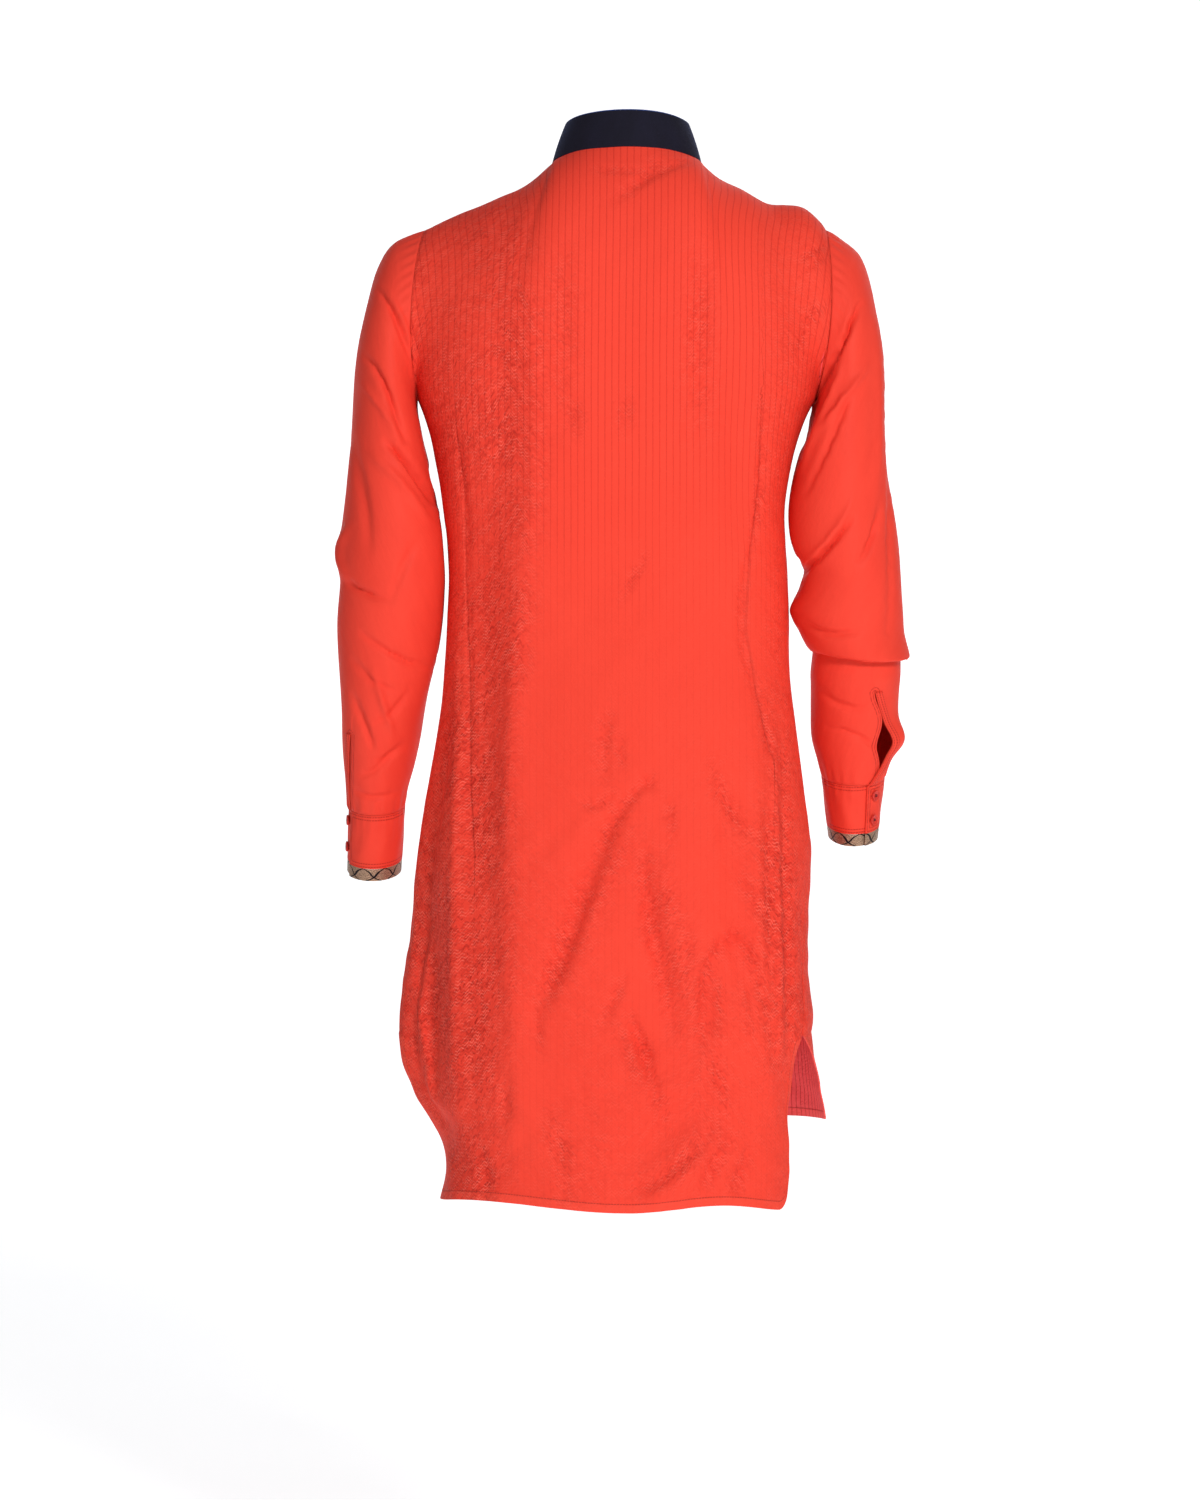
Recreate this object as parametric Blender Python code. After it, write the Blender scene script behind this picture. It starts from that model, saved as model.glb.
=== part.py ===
"""A kurta tunic in worn form: back and front panels, set-in sleeves, stand collar, placket and cuffs.

Metres, +Z up. The wearer faces -Y and the wearer's left is +X. The origin is the middle of the neck, level
with the points where the collar meets the shoulders. Heights on the body are given as a drop below it.
"""

import math

import bmesh
import bpy
import numpy as np

# Sizes that drive the rest
BODY_WALL = 0.0015
SLEEVE_WALL = 0.0013
SEAM_GAP = 0.0003
LAYER_GAP = 0.0004
ARMPIT_DROP = 0.248
SLIT_DROP = 0.911
SECTION_POWER = 2.5

# Neck and collar
NECK_CENTRE_X = -0.0022
NECK_HALF_WIDTH = 0.0783
NECK_BACK = 0.075
NECK_FRONT = 0.070
NECK_RISE_BACK = 0.007
NECK_FALL_FRONT = 0.055
COLLAR_WALL = 0.0024
COLLAR_HEIGHT = 0.041
COLLAR_LEAN = 0.0135
COLLAR_OPENING = 3.5
COLLAR_ROWS = 4
COLLAR_CORNER = 0.014
COLLAR_CORNER_STEP = 3.5
COLLAR_FRONT_RISE = 0.006
COLLAR_FACE_LIFT = 0.3
NECK_FACE_LIFT = 0.75

# Front opening, its two strips and its buttons
OPENING_HALF_WIDTH = 0.0012
OPENING_BOTTOM_DROP = 0.36
STRIP_WALL = 0.0012
STRIP_START_SHARE = 0.16
TOP_STRIP_HALF_WIDTH = 0.017
UNDER_STRIP_HALF_WIDTH = 0.014
TOP_STRIP_TAIL = 0.022
UNDER_STRIP_TAIL = 0.012
SLIT_STRIP_WIDTH = 0.010
SLIT_STRIP_LIFTS = {"left": 0.0004, "right": 0.0015}
SLIT_STRIP_END_SHARE = 0.05
FRONT_BUTTON_DROPS = (0.085, 0.165, 0.245, 0.325)
BUTTON_RADIUS = 0.0055
BUTTON_THICKNESS = 0.0026
BUTTON_SIDES = 14
BUTTON_PROFILE = ((0.0, -0.5), (0.85, -0.5), (1.0, -0.1), (0.97, 0.35), (0.84, 0.5), (0.68, 0.28), (0.0, 0.2))
BUTTON_SEARCH_STEPS = 200

# Directions that the panels' cloth sets out in: up from the armpit line, off the neck, and off the shoulder
LOW_WAYS = {"back": (0.0, 0.08, 1.0), "front": (0.0, -0.02, 1.0)}
NECK_WAYS = {"back": (0.0, -0.6, 0.8), "front": (0.0, 0.45, 0.88)}
SHOULDER_WAYS = {"back": (0.0, -1.3, 0.12), "front": (0.0, 1.3, 0.12)}
ARMHOLE_PULL_POWER = 3

# Grid of the panels: columns from the middle to the neck point, then to the side, and rows
NECK_SHARE = 0.36
NECK_COLUMNS = 6
SIDE_COLUMNS = 9
SIDE_CROWDING = 1.25
CAP_ROWS = 10
SEAM_ROWS = 18
TAIL_ROWS = {"back": 6, "front": 3}
HEM_CORNERS = {"back": {"left": 0.012, "right": 0.028}, "front": {"left": 0.006, "right": 0.006}}
BACK_HEM_DROP = 1.084
BACK_HEM_WAVE = 0.004
BACK_HEM_WAVE_RATE = 6.5
BACK_HEM_TILT = -0.003
FRONT_HEM_DROP = 1.008
FRONT_HEM_BOW = -0.003

# One row for each height on the body: half widths, and depths behind and before the side line
TORSO_COLUMNS = ("drop", "left", "right", "back", "front")
TORSO = (
    (0.248, 0.2175, 0.2000, 0.118, 0.118),
    (0.262, 0.2120, 0.1925, 0.117, 0.118),
    (0.280, 0.2060, 0.1850, 0.116, 0.117),
    (0.300, 0.2010, 0.1785, 0.114, 0.115),
    (0.325, 0.1960, 0.1728, 0.111, 0.113),
    (0.359, 0.1910, 0.1678, 0.107, 0.110),
    (0.396, 0.1865, 0.1685, 0.103, 0.107),
    (0.425, 0.1850, 0.1705, 0.101, 0.105),
    (0.480, 0.1865, 0.1720, 0.101, 0.104),
    (0.535, 0.1890, 0.1730, 0.105, 0.104),
    (0.595, 0.1935, 0.1800, 0.112, 0.106),
    (0.658, 0.1980, 0.1880, 0.119, 0.109),
    (0.721, 0.2000, 0.1955, 0.126, 0.112),
    (0.784, 0.2000, 0.1925, 0.130, 0.116),
    (0.847, 0.2000, 0.1920, 0.132, 0.120),
    (0.911, 0.2000, 0.1955, 0.133, 0.124),
    (0.942, 0.1990, 0.1865, 0.134, 0.126),
    (0.973, 0.1950, 0.1820, 0.134, 0.128),
    (1.005, 0.1890, 0.1795, 0.135, 0.130),
    (1.036, 0.1860, 0.1810, 0.135, 0.131),
    (1.088, 0.1930, 0.1790, 0.136, 0.133),
)

# Where the side edges of each panel lie, in degrees round from the middle of the back
SEAM_COLUMNS = ("drop", "left_back", "right_back", "left_front", "right_front")
SEAMS = (
    (0.248, 90.0, 90.0, 90.0, 90.0),
    (0.595, 90.0, 88.0, 90.0, 88.0),
    (0.784, 90.0, 72.0, 90.0, 72.0),
    (0.911, 90.0, 63.0, 90.0, 63.0),
    (0.935, 90.0, 63.0, 93.0, 76.0),
    (0.966, 90.0, 63.0, 96.0, 90.0),
    (1.006, 90.0, 63.0, 100.0, 96.0),
    (1.088, 90.0, 63.0, 100.0, 96.0),
)

# How far the right of the front stands out beyond the back below the slit
FRONT_SWING_COLUMNS = ("drop", "swing")
FRONT_SWING = ((0.248, 0.0), (0.911, 0.0), (0.942, 0.0115), (0.966, 0.021), (1.006, 0.033), (1.088, 0.033))

# The fold that runs down the left side: a bulge and the valley behind it, by height
SIDE_FOLD_COLUMNS = ("drop", "bulge", "valley")
SIDE_FOLD = (
    (0.248, 0.0, 0.0),
    (0.480, 0.0, 0.0),
    (0.564, 0.0010, 0.001),
    (0.627, 0.0060, 0.006),
    (0.690, 0.0140, 0.011),
    (0.753, 0.0212, 0.015),
    (0.816, 0.0260, 0.018),
    (0.847, 0.0318, 0.019),
    (0.911, 0.0368, 0.020),
    (0.942, 0.0350, 0.019),
    (0.973, 0.0270, 0.014),
    (1.005, 0.0135, 0.006),
    (1.036, 0.0015, 0.000),
    (1.088, 0.0000, 0.000),
)
BULGE_ANGLE = 93.0
BULGE_SPREAD = 11.0
VALLEY_ANGLE = 71.0
VALLEY_SPREAD = 7.0

# Straight troughs (minus) and ridges (plus) of the cloth: ends as x and drop, half width and height
FOLD_COLUMNS = ("x_top", "drop_top", "x_bottom", "drop_bottom", "half_width", "height")
FOLD_END_SHARE = 0.05
FOLD_END_POWER = 0.7
BACK_FOLDS = (
    (0.152, 0.330, 0.140, 0.900, 0.022, -0.0045),
    (0.112, 0.300, 0.110, 1.000, 0.020, 0.0040),
    (-0.110, 0.200, -0.118, 0.400, 0.018, -0.0045),
    (-0.127, 0.560, -0.146, 0.980, 0.015, 0.0060),
    (-0.105, 0.600, -0.118, 0.900, 0.018, -0.0050),
    (0.010, 0.670, 0.082, 0.865, 0.016, -0.0065),
    (-0.020, 0.745, -0.054, 0.905, 0.016, -0.0060),
    (-0.105, 0.800, -0.078, 0.915, 0.013, -0.0050),
    (-0.112, 0.800, -0.135, 0.880, 0.013, -0.0050),
    (-0.005, 0.900, -0.040, 0.955, 0.014, -0.0050),
    (0.000, 1.050, -0.070, 0.975, 0.022, -0.0080),
    (-0.030, 1.075, -0.095, 1.005, 0.020, 0.0050),
)
FRONT_FOLDS = (
    (0.095, 0.320, 0.120, 0.950, 0.022, -0.0060),
    (0.040, 0.520, 0.060, 0.990, 0.020, 0.0050),
    (-0.085, 0.300, -0.110, 0.930, 0.020, -0.0060),
    (-0.030, 0.560, -0.045, 0.990, 0.022, 0.0050),
    (-0.140, 0.560, -0.160, 0.980, 0.018, 0.0060),
    (0.000, 0.640, 0.005, 0.960, 0.020, -0.0050),
)

# The shoulder line as seen from behind: distance from the middle and drop
SHOULDER_COLUMNS = ("left_x", "left_drop", "right_x", "right_drop")
SHOULDERS = (
    (0.0761, 0.0000, 0.0805, 0.0000),
    (0.0998, 0.0205, 0.0950, 0.0130),
    (0.1300, 0.0360, 0.1240, 0.0280),
    (0.1540, 0.0465, 0.1520, 0.0430),
    (0.1700, 0.0525, 0.1680, 0.0445),
    (0.1900, 0.0610, 0.1890, 0.0500),
    (0.2100, 0.0710, 0.2110, 0.0770),
)

# The armhole, an upright loop at each side
ARMHOLE_HALF_DEPTH = 0.065
ARMHOLE_GAP = 0.00036
ARMHOLE_BULGE = 0.0075
ARMHOLE_BULGE_ROWS = 3.0

# One row for each ring of a sleeve, from the armhole to the cuff seam: outer and inner point (x and drop),
# half depth, forward or backward place of the middle, how much lower the back is, and the turn of the seam
SLEEVE_COLUMNS = ("out_x", "out_drop", "in_x", "in_drop", "half_depth", "middle_y", "back_drop", "turn", "slit")
LEFT_SLEEVE = (
    (0.2100, 0.071, 0.2175, 0.248, 0.065, 0.000, 0.000, 0.0, 9.0),
    (0.2400, 0.084, 0.2174, 0.257, 0.067, 0.000, 0.000, 0.0, 9.0),
    (0.2570, 0.108, 0.2162, 0.266, 0.070, 0.000, 0.000, 0.0, 9.0),
    (0.2680, 0.140, 0.2130, 0.279, 0.073, 0.002, 0.000, 0.0, 9.0),
    (0.2770, 0.180, 0.2085, 0.298, 0.074, 0.004, 0.000, 0.0, 9.0),
    (0.2820, 0.215, 0.2035, 0.319, 0.074, 0.005, 0.002, 0.0, 9.0),
    (0.2855, 0.256, 0.1995, 0.340, 0.073, 0.007, 0.003, 0.0, 9.0),
    (0.2890, 0.300, 0.1955, 0.365, 0.072, 0.008, 0.004, 0.0, 9.0),
    (0.2925, 0.350, 0.1915, 0.390, 0.071, 0.009, 0.005, 0.0, 9.0),
    (0.2990, 0.405, 0.1882, 0.430, 0.069, 0.007, 0.007, 0.0, 9.0),
    (0.2985, 0.440, 0.1895, 0.455, 0.068, 0.004, 0.008, 0.0, 9.0),
    (0.3005, 0.478, 0.1925, 0.483, 0.067, 0.000, 0.009, 0.0, 9.0),
    (0.3003, 0.512, 0.1970, 0.512, 0.065, -0.005, 0.010, 0.0, 9.0),
    (0.2995, 0.545, 0.2045, 0.545, 0.062, -0.011, 0.011, -8.0, 9.0),
    (0.2980, 0.575, 0.2105, 0.575, 0.059, -0.018, 0.011, -16.0, 5.0),
    (0.2975, 0.604, 0.2160, 0.604, 0.055, -0.026, 0.011, -20.0, 2.5),
    (0.2965, 0.632, 0.2225, 0.632, 0.050, -0.034, 0.011, -24.0, 2.5),
    (0.2950, 0.656, 0.2290, 0.656, 0.046, -0.040, 0.011, -28.0, 2.5),
    (0.2930, 0.674, 0.2325, 0.674, 0.043, -0.044, 0.011, -30.0, 3.0),
)
RIGHT_SLEEVE = (
    (0.2110, 0.077, 0.2000, 0.248, 0.065, 0.000, 0.000, 0.0, 9.0),
    (0.2380, 0.091, 0.2000, 0.2565, 0.067, 0.000, 0.000, 0.0, 9.0),
    (0.2500, 0.107, 0.1980, 0.266, 0.070, 0.000, 0.000, 0.0, 9.0),
    (0.2600, 0.139, 0.1940, 0.278, 0.073, 0.002, 0.000, 0.0, 9.0),
    (0.2680, 0.180, 0.1885, 0.293, 0.074, 0.004, 0.000, 0.0, 9.0),
    (0.2725, 0.220, 0.1812, 0.310, 0.074, 0.006, 0.002, 0.0, 9.0),
    (0.2755, 0.270, 0.1752, 0.335, 0.073, 0.008, 0.003, 0.0, 9.0),
    (0.2785, 0.325, 0.1718, 0.364, 0.071, 0.009, 0.004, 0.0, 9.0),
    (0.2830, 0.372, 0.1728, 0.390, 0.070, 0.009, 0.005, 0.0, 9.0),
    (0.2875, 0.406, 0.1775, 0.408, 0.069, 0.008, 0.006, 0.0, 9.0),
    (0.2895, 0.430, 0.1868, 0.427, 0.068, 0.006, 0.007, 0.0, 9.0),
    (0.2903, 0.450, 0.1835, 0.446, 0.069, 0.003, 0.008, 2.0, 9.0),
    (0.2912, 0.472, 0.1765, 0.468, 0.071, 0.000, 0.009, 5.0, 9.0),
    (0.2925, 0.493, 0.1845, 0.491, 0.071, -0.003, 0.010, 9.0, 9.0),
    (0.2985, 0.513, 0.1955, 0.509, 0.070, -0.007, 0.011, 13.0, 9.0),
    (0.2915, 0.519, 0.1962, 0.517, 0.062, -0.009, 0.011, 14.0, 9.0),
    (0.2905, 0.534, 0.1955, 0.534, 0.060, -0.013, 0.011, 17.0, 9.0),
    (0.2890, 0.553, 0.1962, 0.553, 0.057, -0.018, 0.011, 18.0, 4.0),
    (0.2875, 0.576, 0.1968, 0.576, 0.054, -0.024, 0.011, 4.0, 9.0),
    (0.2860, 0.602, 0.1978, 0.602, 0.050, -0.030, 0.011, -11.0, 12.0),
    (0.2810, 0.624, 0.2030, 0.624, 0.046, -0.036, 0.011, -20.0, 8.0),
    (0.2755, 0.6425, 0.2085, 0.6425, 0.043, -0.041, 0.011, -29.0, 3.0),
)
SLEEVE_SIDES = 20
SLIT_COLUMN = 3
SLIT_MIDDLE = 63.0
TURN_SPREAD = 60.0
SLIT_TOP_ROW = {"left": 14, "right": 17}

# The loose edge of the right slit stands out from the arm
LOOSE_EDGE_ANGLE = 18.0
LOOSE_EDGE_SPREAD = 20.0
LOOSE_EDGE_DROP = 0.603
LOOSE_EDGE_REACH = 0.017
LOOSE_EDGE_HEIGHT = 0.0105

# Cuffs: the bottom edge, the angles where the band starts and ends, which end lies under, and the buttons
CUFF_COLUMNS = ("out_x", "in_x", "drop", "half_depth", "middle_y", "start", "end", "under_end", "button")
CUFFS = {
    "left": (0.2952, 0.2360, 0.7300, 0.0425, -0.053, 31.0, 422.0, "last", 371.0),
    "right": (0.2705, 0.2145, 0.6935, 0.0425, -0.050, 33.0, 427.0, "first", 410.0),
}
TUCK_LENGTH = 45.0
TUCK_START = 4.0
TUCK_GAP = 0.00064
CUFF_WALL = 0.0016
CUFF_SIDES = 30
CUFF_ROWS = 3
CUFF_SEAM_GAP = 0.00045
TRIM_HEIGHT = 0.0125
TRIM_WALL = 0.0011
TRIM_INSET = 0.0002
CUFF_BUTTON_SHARES = (0.25, 0.75)

# Colours as linear red, green and blue
SILK_RED = (0.78, 0.055, 0.038, 1.0)
SILK_RED_PLAIN = (0.80, 0.050, 0.034, 1.0)
VELVET_BLUE = (0.006, 0.007, 0.018, 1.0)
BROCADE_GOLD = (0.22, 0.12, 0.07, 1.0)
BUTTON_RED = (0.45, 0.022, 0.018, 1.0)


def named(columns, rows):
    """The rows of a table as one array for each named column."""
    return dict(zip(columns, np.array(rows, float).T))


def smooth(at, places, values):
    """A smooth curve through the values at the given rising places, read at other places."""
    slopes = np.gradient(values, places)
    at = np.clip(at, places[0], places[-1])
    row = np.clip(np.searchsorted(places, at) - 1, 0, len(places) - 2)
    step = places[row + 1] - places[row]
    t = (at - places[row]) / step
    return (
        values[row] * (1 + 2 * t) * (1 - t) ** 2
        + slopes[row] * step * t * (1 - t) ** 2
        + values[row + 1] * t * t * (3 - 2 * t)
        + slopes[row + 1] * step * t * t * (t - 1)
    )


def ease(t):
    t = np.clip(t, 0.0, 1.0)
    return t * t * (3 - 2 * t)


def unit(vectors):
    return vectors / np.linalg.norm(vectors, axis=-1, keepdims=True)


def points(x, y, z):
    return np.stack(np.broadcast_arrays(x, y, z), axis=-1)


TORSO_TABLE = named(TORSO_COLUMNS, TORSO)
SEAM_TABLE = named(SEAM_COLUMNS, SEAMS)
SWING_TABLE = named(FRONT_SWING_COLUMNS, FRONT_SWING)
SIDE_FOLD_TABLE = named(SIDE_FOLD_COLUMNS, SIDE_FOLD)
SHOULDER_TABLE = named(SHOULDER_COLUMNS, SHOULDERS)
SLEEVE_TABLES = {"left": named(SLEEVE_COLUMNS, LEFT_SLEEVE), "right": named(SLEEVE_COLUMNS, RIGHT_SLEEVE)}


def torso(name, drop):
    return smooth(drop, TORSO_TABLE["drop"], TORSO_TABLE[name])


def ring(angle, drop, panel):
    """A point of the body's section. The angle is in degrees from the middle of the back, + to the left."""
    turn = np.radians(angle)
    across, along = np.sin(turn), np.cos(turn)
    round_off = (np.abs(across) ** SECTION_POWER + np.abs(along) ** SECTION_POWER) ** (-1 / SECTION_POWER)
    right = torso("right", drop)
    if panel == "front":
        right = right + np.interp(drop, SWING_TABLE["drop"], SWING_TABLE["swing"])
    half_width = np.where(across > 0, torso("left", drop), right)
    depth = np.where(along > 0, torso("back", drop), torso("front", drop))
    return points(half_width * across * round_off, depth * along * round_off, -drop)


def side_fold(angle, drop):
    """How far the fold down the left side stands out from the body's plain section."""
    bulge = smooth(drop, SIDE_FOLD_TABLE["drop"], SIDE_FOLD_TABLE["bulge"])
    valley = smooth(drop, SIDE_FOLD_TABLE["drop"], SIDE_FOLD_TABLE["valley"])
    return bulge * np.exp(-(((angle - BULGE_ANGLE) / BULGE_SPREAD) ** 2) / 2) - valley * np.exp(
        -(((angle - VALLEY_ANGLE) / VALLEY_SPREAD) ** 2) / 2
    )


def straight_folds(place, folds):
    """The height of the troughs and ridges at places given by x and drop."""
    x, drop = place[..., 0], -place[..., 2]
    height = np.zeros_like(x)
    for row in folds:
        fold = dict(zip(FOLD_COLUMNS, row))
        run = np.array([fold["x_bottom"] - fold["x_top"], fold["drop_bottom"] - fold["drop_top"]])
        share = ((x - fold["x_top"]) * run[0] + (drop - fold["drop_top"]) * run[1]) / run.dot(run)
        held = np.clip(share, 0.0, 1.0)
        away = np.hypot(x - fold["x_top"] - held * run[0], drop - fold["drop_top"] - held * run[1])
        inside = np.clip(share * (1 - 2 * FOLD_END_SHARE) + FOLD_END_SHARE, 0.0, 1.0)
        fade = np.sin(math.pi * inside) ** FOLD_END_POWER
        height += fold["height"] * fade * np.exp(-((away / fold["half_width"]) ** 2))
    return height


def neck_point(angle):
    """The neck edge. The angle is in degrees from the middle of the back, + to the left."""
    turn = np.radians(angle)
    depth = np.where(np.cos(turn) > 0, NECK_BACK, NECK_FRONT)
    back, front = np.clip(np.cos(turn), 0, 1), np.clip(-np.cos(turn), 0, 1)
    return points(
        NECK_CENTRE_X + NECK_HALF_WIDTH * np.sin(turn),
        depth * np.cos(turn),
        NECK_RISE_BACK * back**1.5 - NECK_FALL_FRONT * front**1.3,
    )


def neck_normal(angle):
    """The way that the cloth faces along the neck edge, shared by the panels and the collar."""
    turn = np.radians(angle)
    return unit(points(np.sin(turn), np.cos(turn), NECK_FACE_LIFT))


def shoulder_point(side, share):
    """A point of the shoulder seam, from 0 at the neck to 1 at the armhole."""
    x, drop = SHOULDER_TABLE[side + "_x"], SHOULDER_TABLE[side + "_drop"]
    out = x[0] + (x[-1] - x[0]) * share
    sign = 1 if side == "left" else -1
    return points(sign * out, 0.0, -smooth(out, x, drop))


def armhole_point(side, angle):
    """The armhole loop. The angle is in degrees from the shoulder, over the back to the armpit at 180."""
    rows = SLEEVE_TABLES[side]
    turn = np.radians(angle)
    sign = 1 if side == "left" else -1
    mid_x, mid_drop = (rows["out_x"][0] + rows["in_x"][0]) / 2, (rows["out_drop"][0] + rows["in_drop"][0]) / 2
    half_x, half_drop = (rows["out_x"][0] - rows["in_x"][0]) / 2, (rows["in_drop"][0] - rows["out_drop"][0]) / 2
    return points(
        sign * (mid_x + half_x * np.cos(turn) + ARMHOLE_BULGE * np.sin(turn) ** 2),
        ARMHOLE_HALF_DEPTH * np.sin(turn),
        -(mid_drop - half_drop * np.cos(turn)),
    )


def armhole_normal(angle):
    turn = np.radians(angle)
    return points(0.0, np.sin(turn), np.cos(turn))


def cap_point(u, rise, panel):
    """The body above the armpits: u is -1 to 1 across, and rise is 0 at the armpit and 1 at the top edge."""
    way = 1.0 if panel == "back" else -1.0
    size = np.abs(u)
    angle = 90.0 * u if panel == "back" else 180.0 - 90.0 * u
    low = ring(angle, np.full_like(u, ARMPIT_DROP), panel)
    neck_share = np.clip(size / NECK_SHARE, 0.0, 1.0)
    neck_angle = np.sign(u) * 90.0 * neck_share
    neck = neck_point(neck_angle if panel == "back" else 180.0 - neck_angle)
    out = np.clip((size - NECK_SHARE) / (1 - NECK_SHARE), 0.0, 1.0)
    shoulder = np.where((u > 0)[..., None], shoulder_point("left", out), shoulder_point("right", out))
    high = np.where((size <= NECK_SHARE)[..., None], neck, shoulder)
    reach = np.linalg.norm(high - low, axis=-1)[..., None]
    on_shoulder = ease(neck_share)[..., None]
    low_way, neck_way, shoulder_way = (np.array(ways[panel]) for ways in (LOW_WAYS, NECK_WAYS, SHOULDER_WAYS))
    high_way = neck_way * (1 - on_shoulder) + shoulder_way * on_shoulder

    def across(t):
        t = t[..., None]
        return (
            low * (1 + 2 * t) * (1 - t) ** 2
            + low_way * reach * t * (1 - t) ** 2
            + high * t * t * (3 - 2 * t)
            + high_way * reach * t * t * (t - 1)
        )

    edge_low = {side: armhole_point(side, 180.0) for side in ("left", "right")}
    edge_high = {side: armhole_point(side, 0.0) for side in ("left", "right")}
    found = across(rise)
    for side, chosen in (("left", u > 0), ("right", u <= 0)):
        t = rise[..., None]
        span = np.linalg.norm(edge_high[side] - edge_low[side])
        plain = (
            edge_low[side] * (1 + 2 * t) * (1 - t) ** 2
            + low_way * span * t * (1 - t) ** 2
            + edge_high[side] * t * t * (3 - 2 * t)
            + shoulder_way * span * t * t * (t - 1)
        )
        pull = armhole_point(side, way * 180.0 * (1 - rise)) - plain
        found = np.where(chosen[..., None], found + (size**ARMHOLE_PULL_POWER)[..., None] * pull, found)
    return found


def panel_angle(u, drop, panel):
    """The angle round the body of a column, which drifts with the side seams."""
    left = np.interp(drop, SEAM_TABLE["drop"], SEAM_TABLE["left_" + panel])
    right = np.interp(drop, SEAM_TABLE["drop"], SEAM_TABLE["right_" + panel])
    if panel == "back":
        return np.where(u > 0, u * left, u * right)
    return np.where(u > 0, 180.0 - u * (180.0 - left), 180.0 - u * (180.0 - right))


def hem_drop(u, panel):
    if panel == "back":
        return BACK_HEM_DROP + BACK_HEM_WAVE * np.cos(BACK_HEM_WAVE_RATE * u) + BACK_HEM_TILT * u
    return FRONT_HEM_DROP + FRONT_HEM_BOW * u * u


def body_drop(u, v, panel):
    tail = np.clip(v - 1.0, 0.0, None) * (hem_drop(u, panel) - SLIT_DROP)
    return ARMPIT_DROP + np.clip(v, 0.0, 1.0) * (SLIT_DROP - ARMPIT_DROP) + tail


def plain_point(u, v, panel):
    """The body before its straight folds: v is -1 at the top, 0 at the armpit, 1 at the slit and 2 at the hem."""
    drop = body_drop(u, v, panel)
    angle = panel_angle(u, drop, panel)
    low = ring(angle, drop, panel)
    step = 0.5
    along = ring(angle + step, drop, panel) - ring(angle - step, drop, panel)
    outward = unit(points(-along[..., 1], along[..., 0], 0.0))
    outward = np.where(np.sum(outward * low, axis=-1, keepdims=True) < 0, -outward, outward)
    low = low + outward * side_fold(angle, drop)[..., None]
    high = cap_point(np.clip(u, -1.0, 1.0), np.clip(-v, 0.0, 1.0), panel)
    return np.where((v >= 0)[..., None], low, high)


def facing(surface, u, v, outward_of):
    """Unit normals of a surface from small steps, pointing away from the given places."""
    step = 1e-3
    along = surface(u + step, v) - surface(u - step, v)
    down = surface(u, v + step) - surface(u, v - step)
    normal = unit(np.cross(along, down))
    return np.where(np.sum(normal * outward_of, axis=-1, keepdims=True) < 0, -normal, normal)


def body_point(u, v, panel):
    place = plain_point(u, v, panel)
    on_u, on_v = np.clip(u, -1.0, 1.0), np.maximum(v, -1.0)
    normal = facing(lambda a, b: plain_point(a, b, panel), on_u, on_v, place - body_axis(place))
    folds = BACK_FOLDS if panel == "back" else FRONT_FOLDS
    return place + normal * straight_folds(place, folds)[..., None]


def body_axis(place):
    """The middle line that the body's cloth faces away from. Near the neck it lies low, so that tops face up."""
    return points(0.0, 0.0, np.minimum(place[..., 2], -ARMPIT_DROP))


def body_normal(u, v, panel):
    place = body_point(u, v, panel)
    return facing(lambda a, b: body_point(a, b, panel), u, v, place - body_axis(place))


def panel_columns(panel):
    """Columns from right to left, with one on each neck point. The front has two more at its opening."""
    neck = np.linspace(0.0, NECK_SHARE, NECK_COLUMNS + 1)
    out = 1 - (1 - np.linspace(0.0, 1.0, SIDE_COLUMNS + 1)[1:]) ** SIDE_CROWDING
    half = np.concatenate([neck, NECK_SHARE + (1 - NECK_SHARE) * out])
    if panel == "front":
        opening = OPENING_HALF_WIDTH / NECK_HALF_WIDTH * NECK_SHARE * 2 / math.pi
        half[0] = opening
        return np.concatenate([-half[::-1], half])
    return np.concatenate([-half[:0:-1], half])


def panel_grid(panel):
    cap = -np.linspace(1.0, 0.0, CAP_ROWS + 1)
    seam = np.linspace(0.0, 1.0, SEAM_ROWS + 1)[1:]
    tail = np.linspace(1.0, 2.0, TAIL_ROWS[panel] + 1)[1:]
    return np.meshgrid(panel_columns(panel), np.concatenate([cap, seam, tail]))


def round_corners(outer, panel):
    """Lifts the lowest row near the slit edges so that the hem's corners are round."""
    lifted = outer.copy()
    for edge, radius in ((0, HEM_CORNERS[panel]["right"]), (-1, HEM_CORNERS[panel]["left"])):
        away = np.linalg.norm(outer[-1] - outer[-1, edge], axis=-1)
        inside = np.clip(radius - away, 0.0, radius)
        lift = radius - np.sqrt(radius**2 - inside**2)
        lifted[-1, :, 2] += lift
    return lifted


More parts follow.
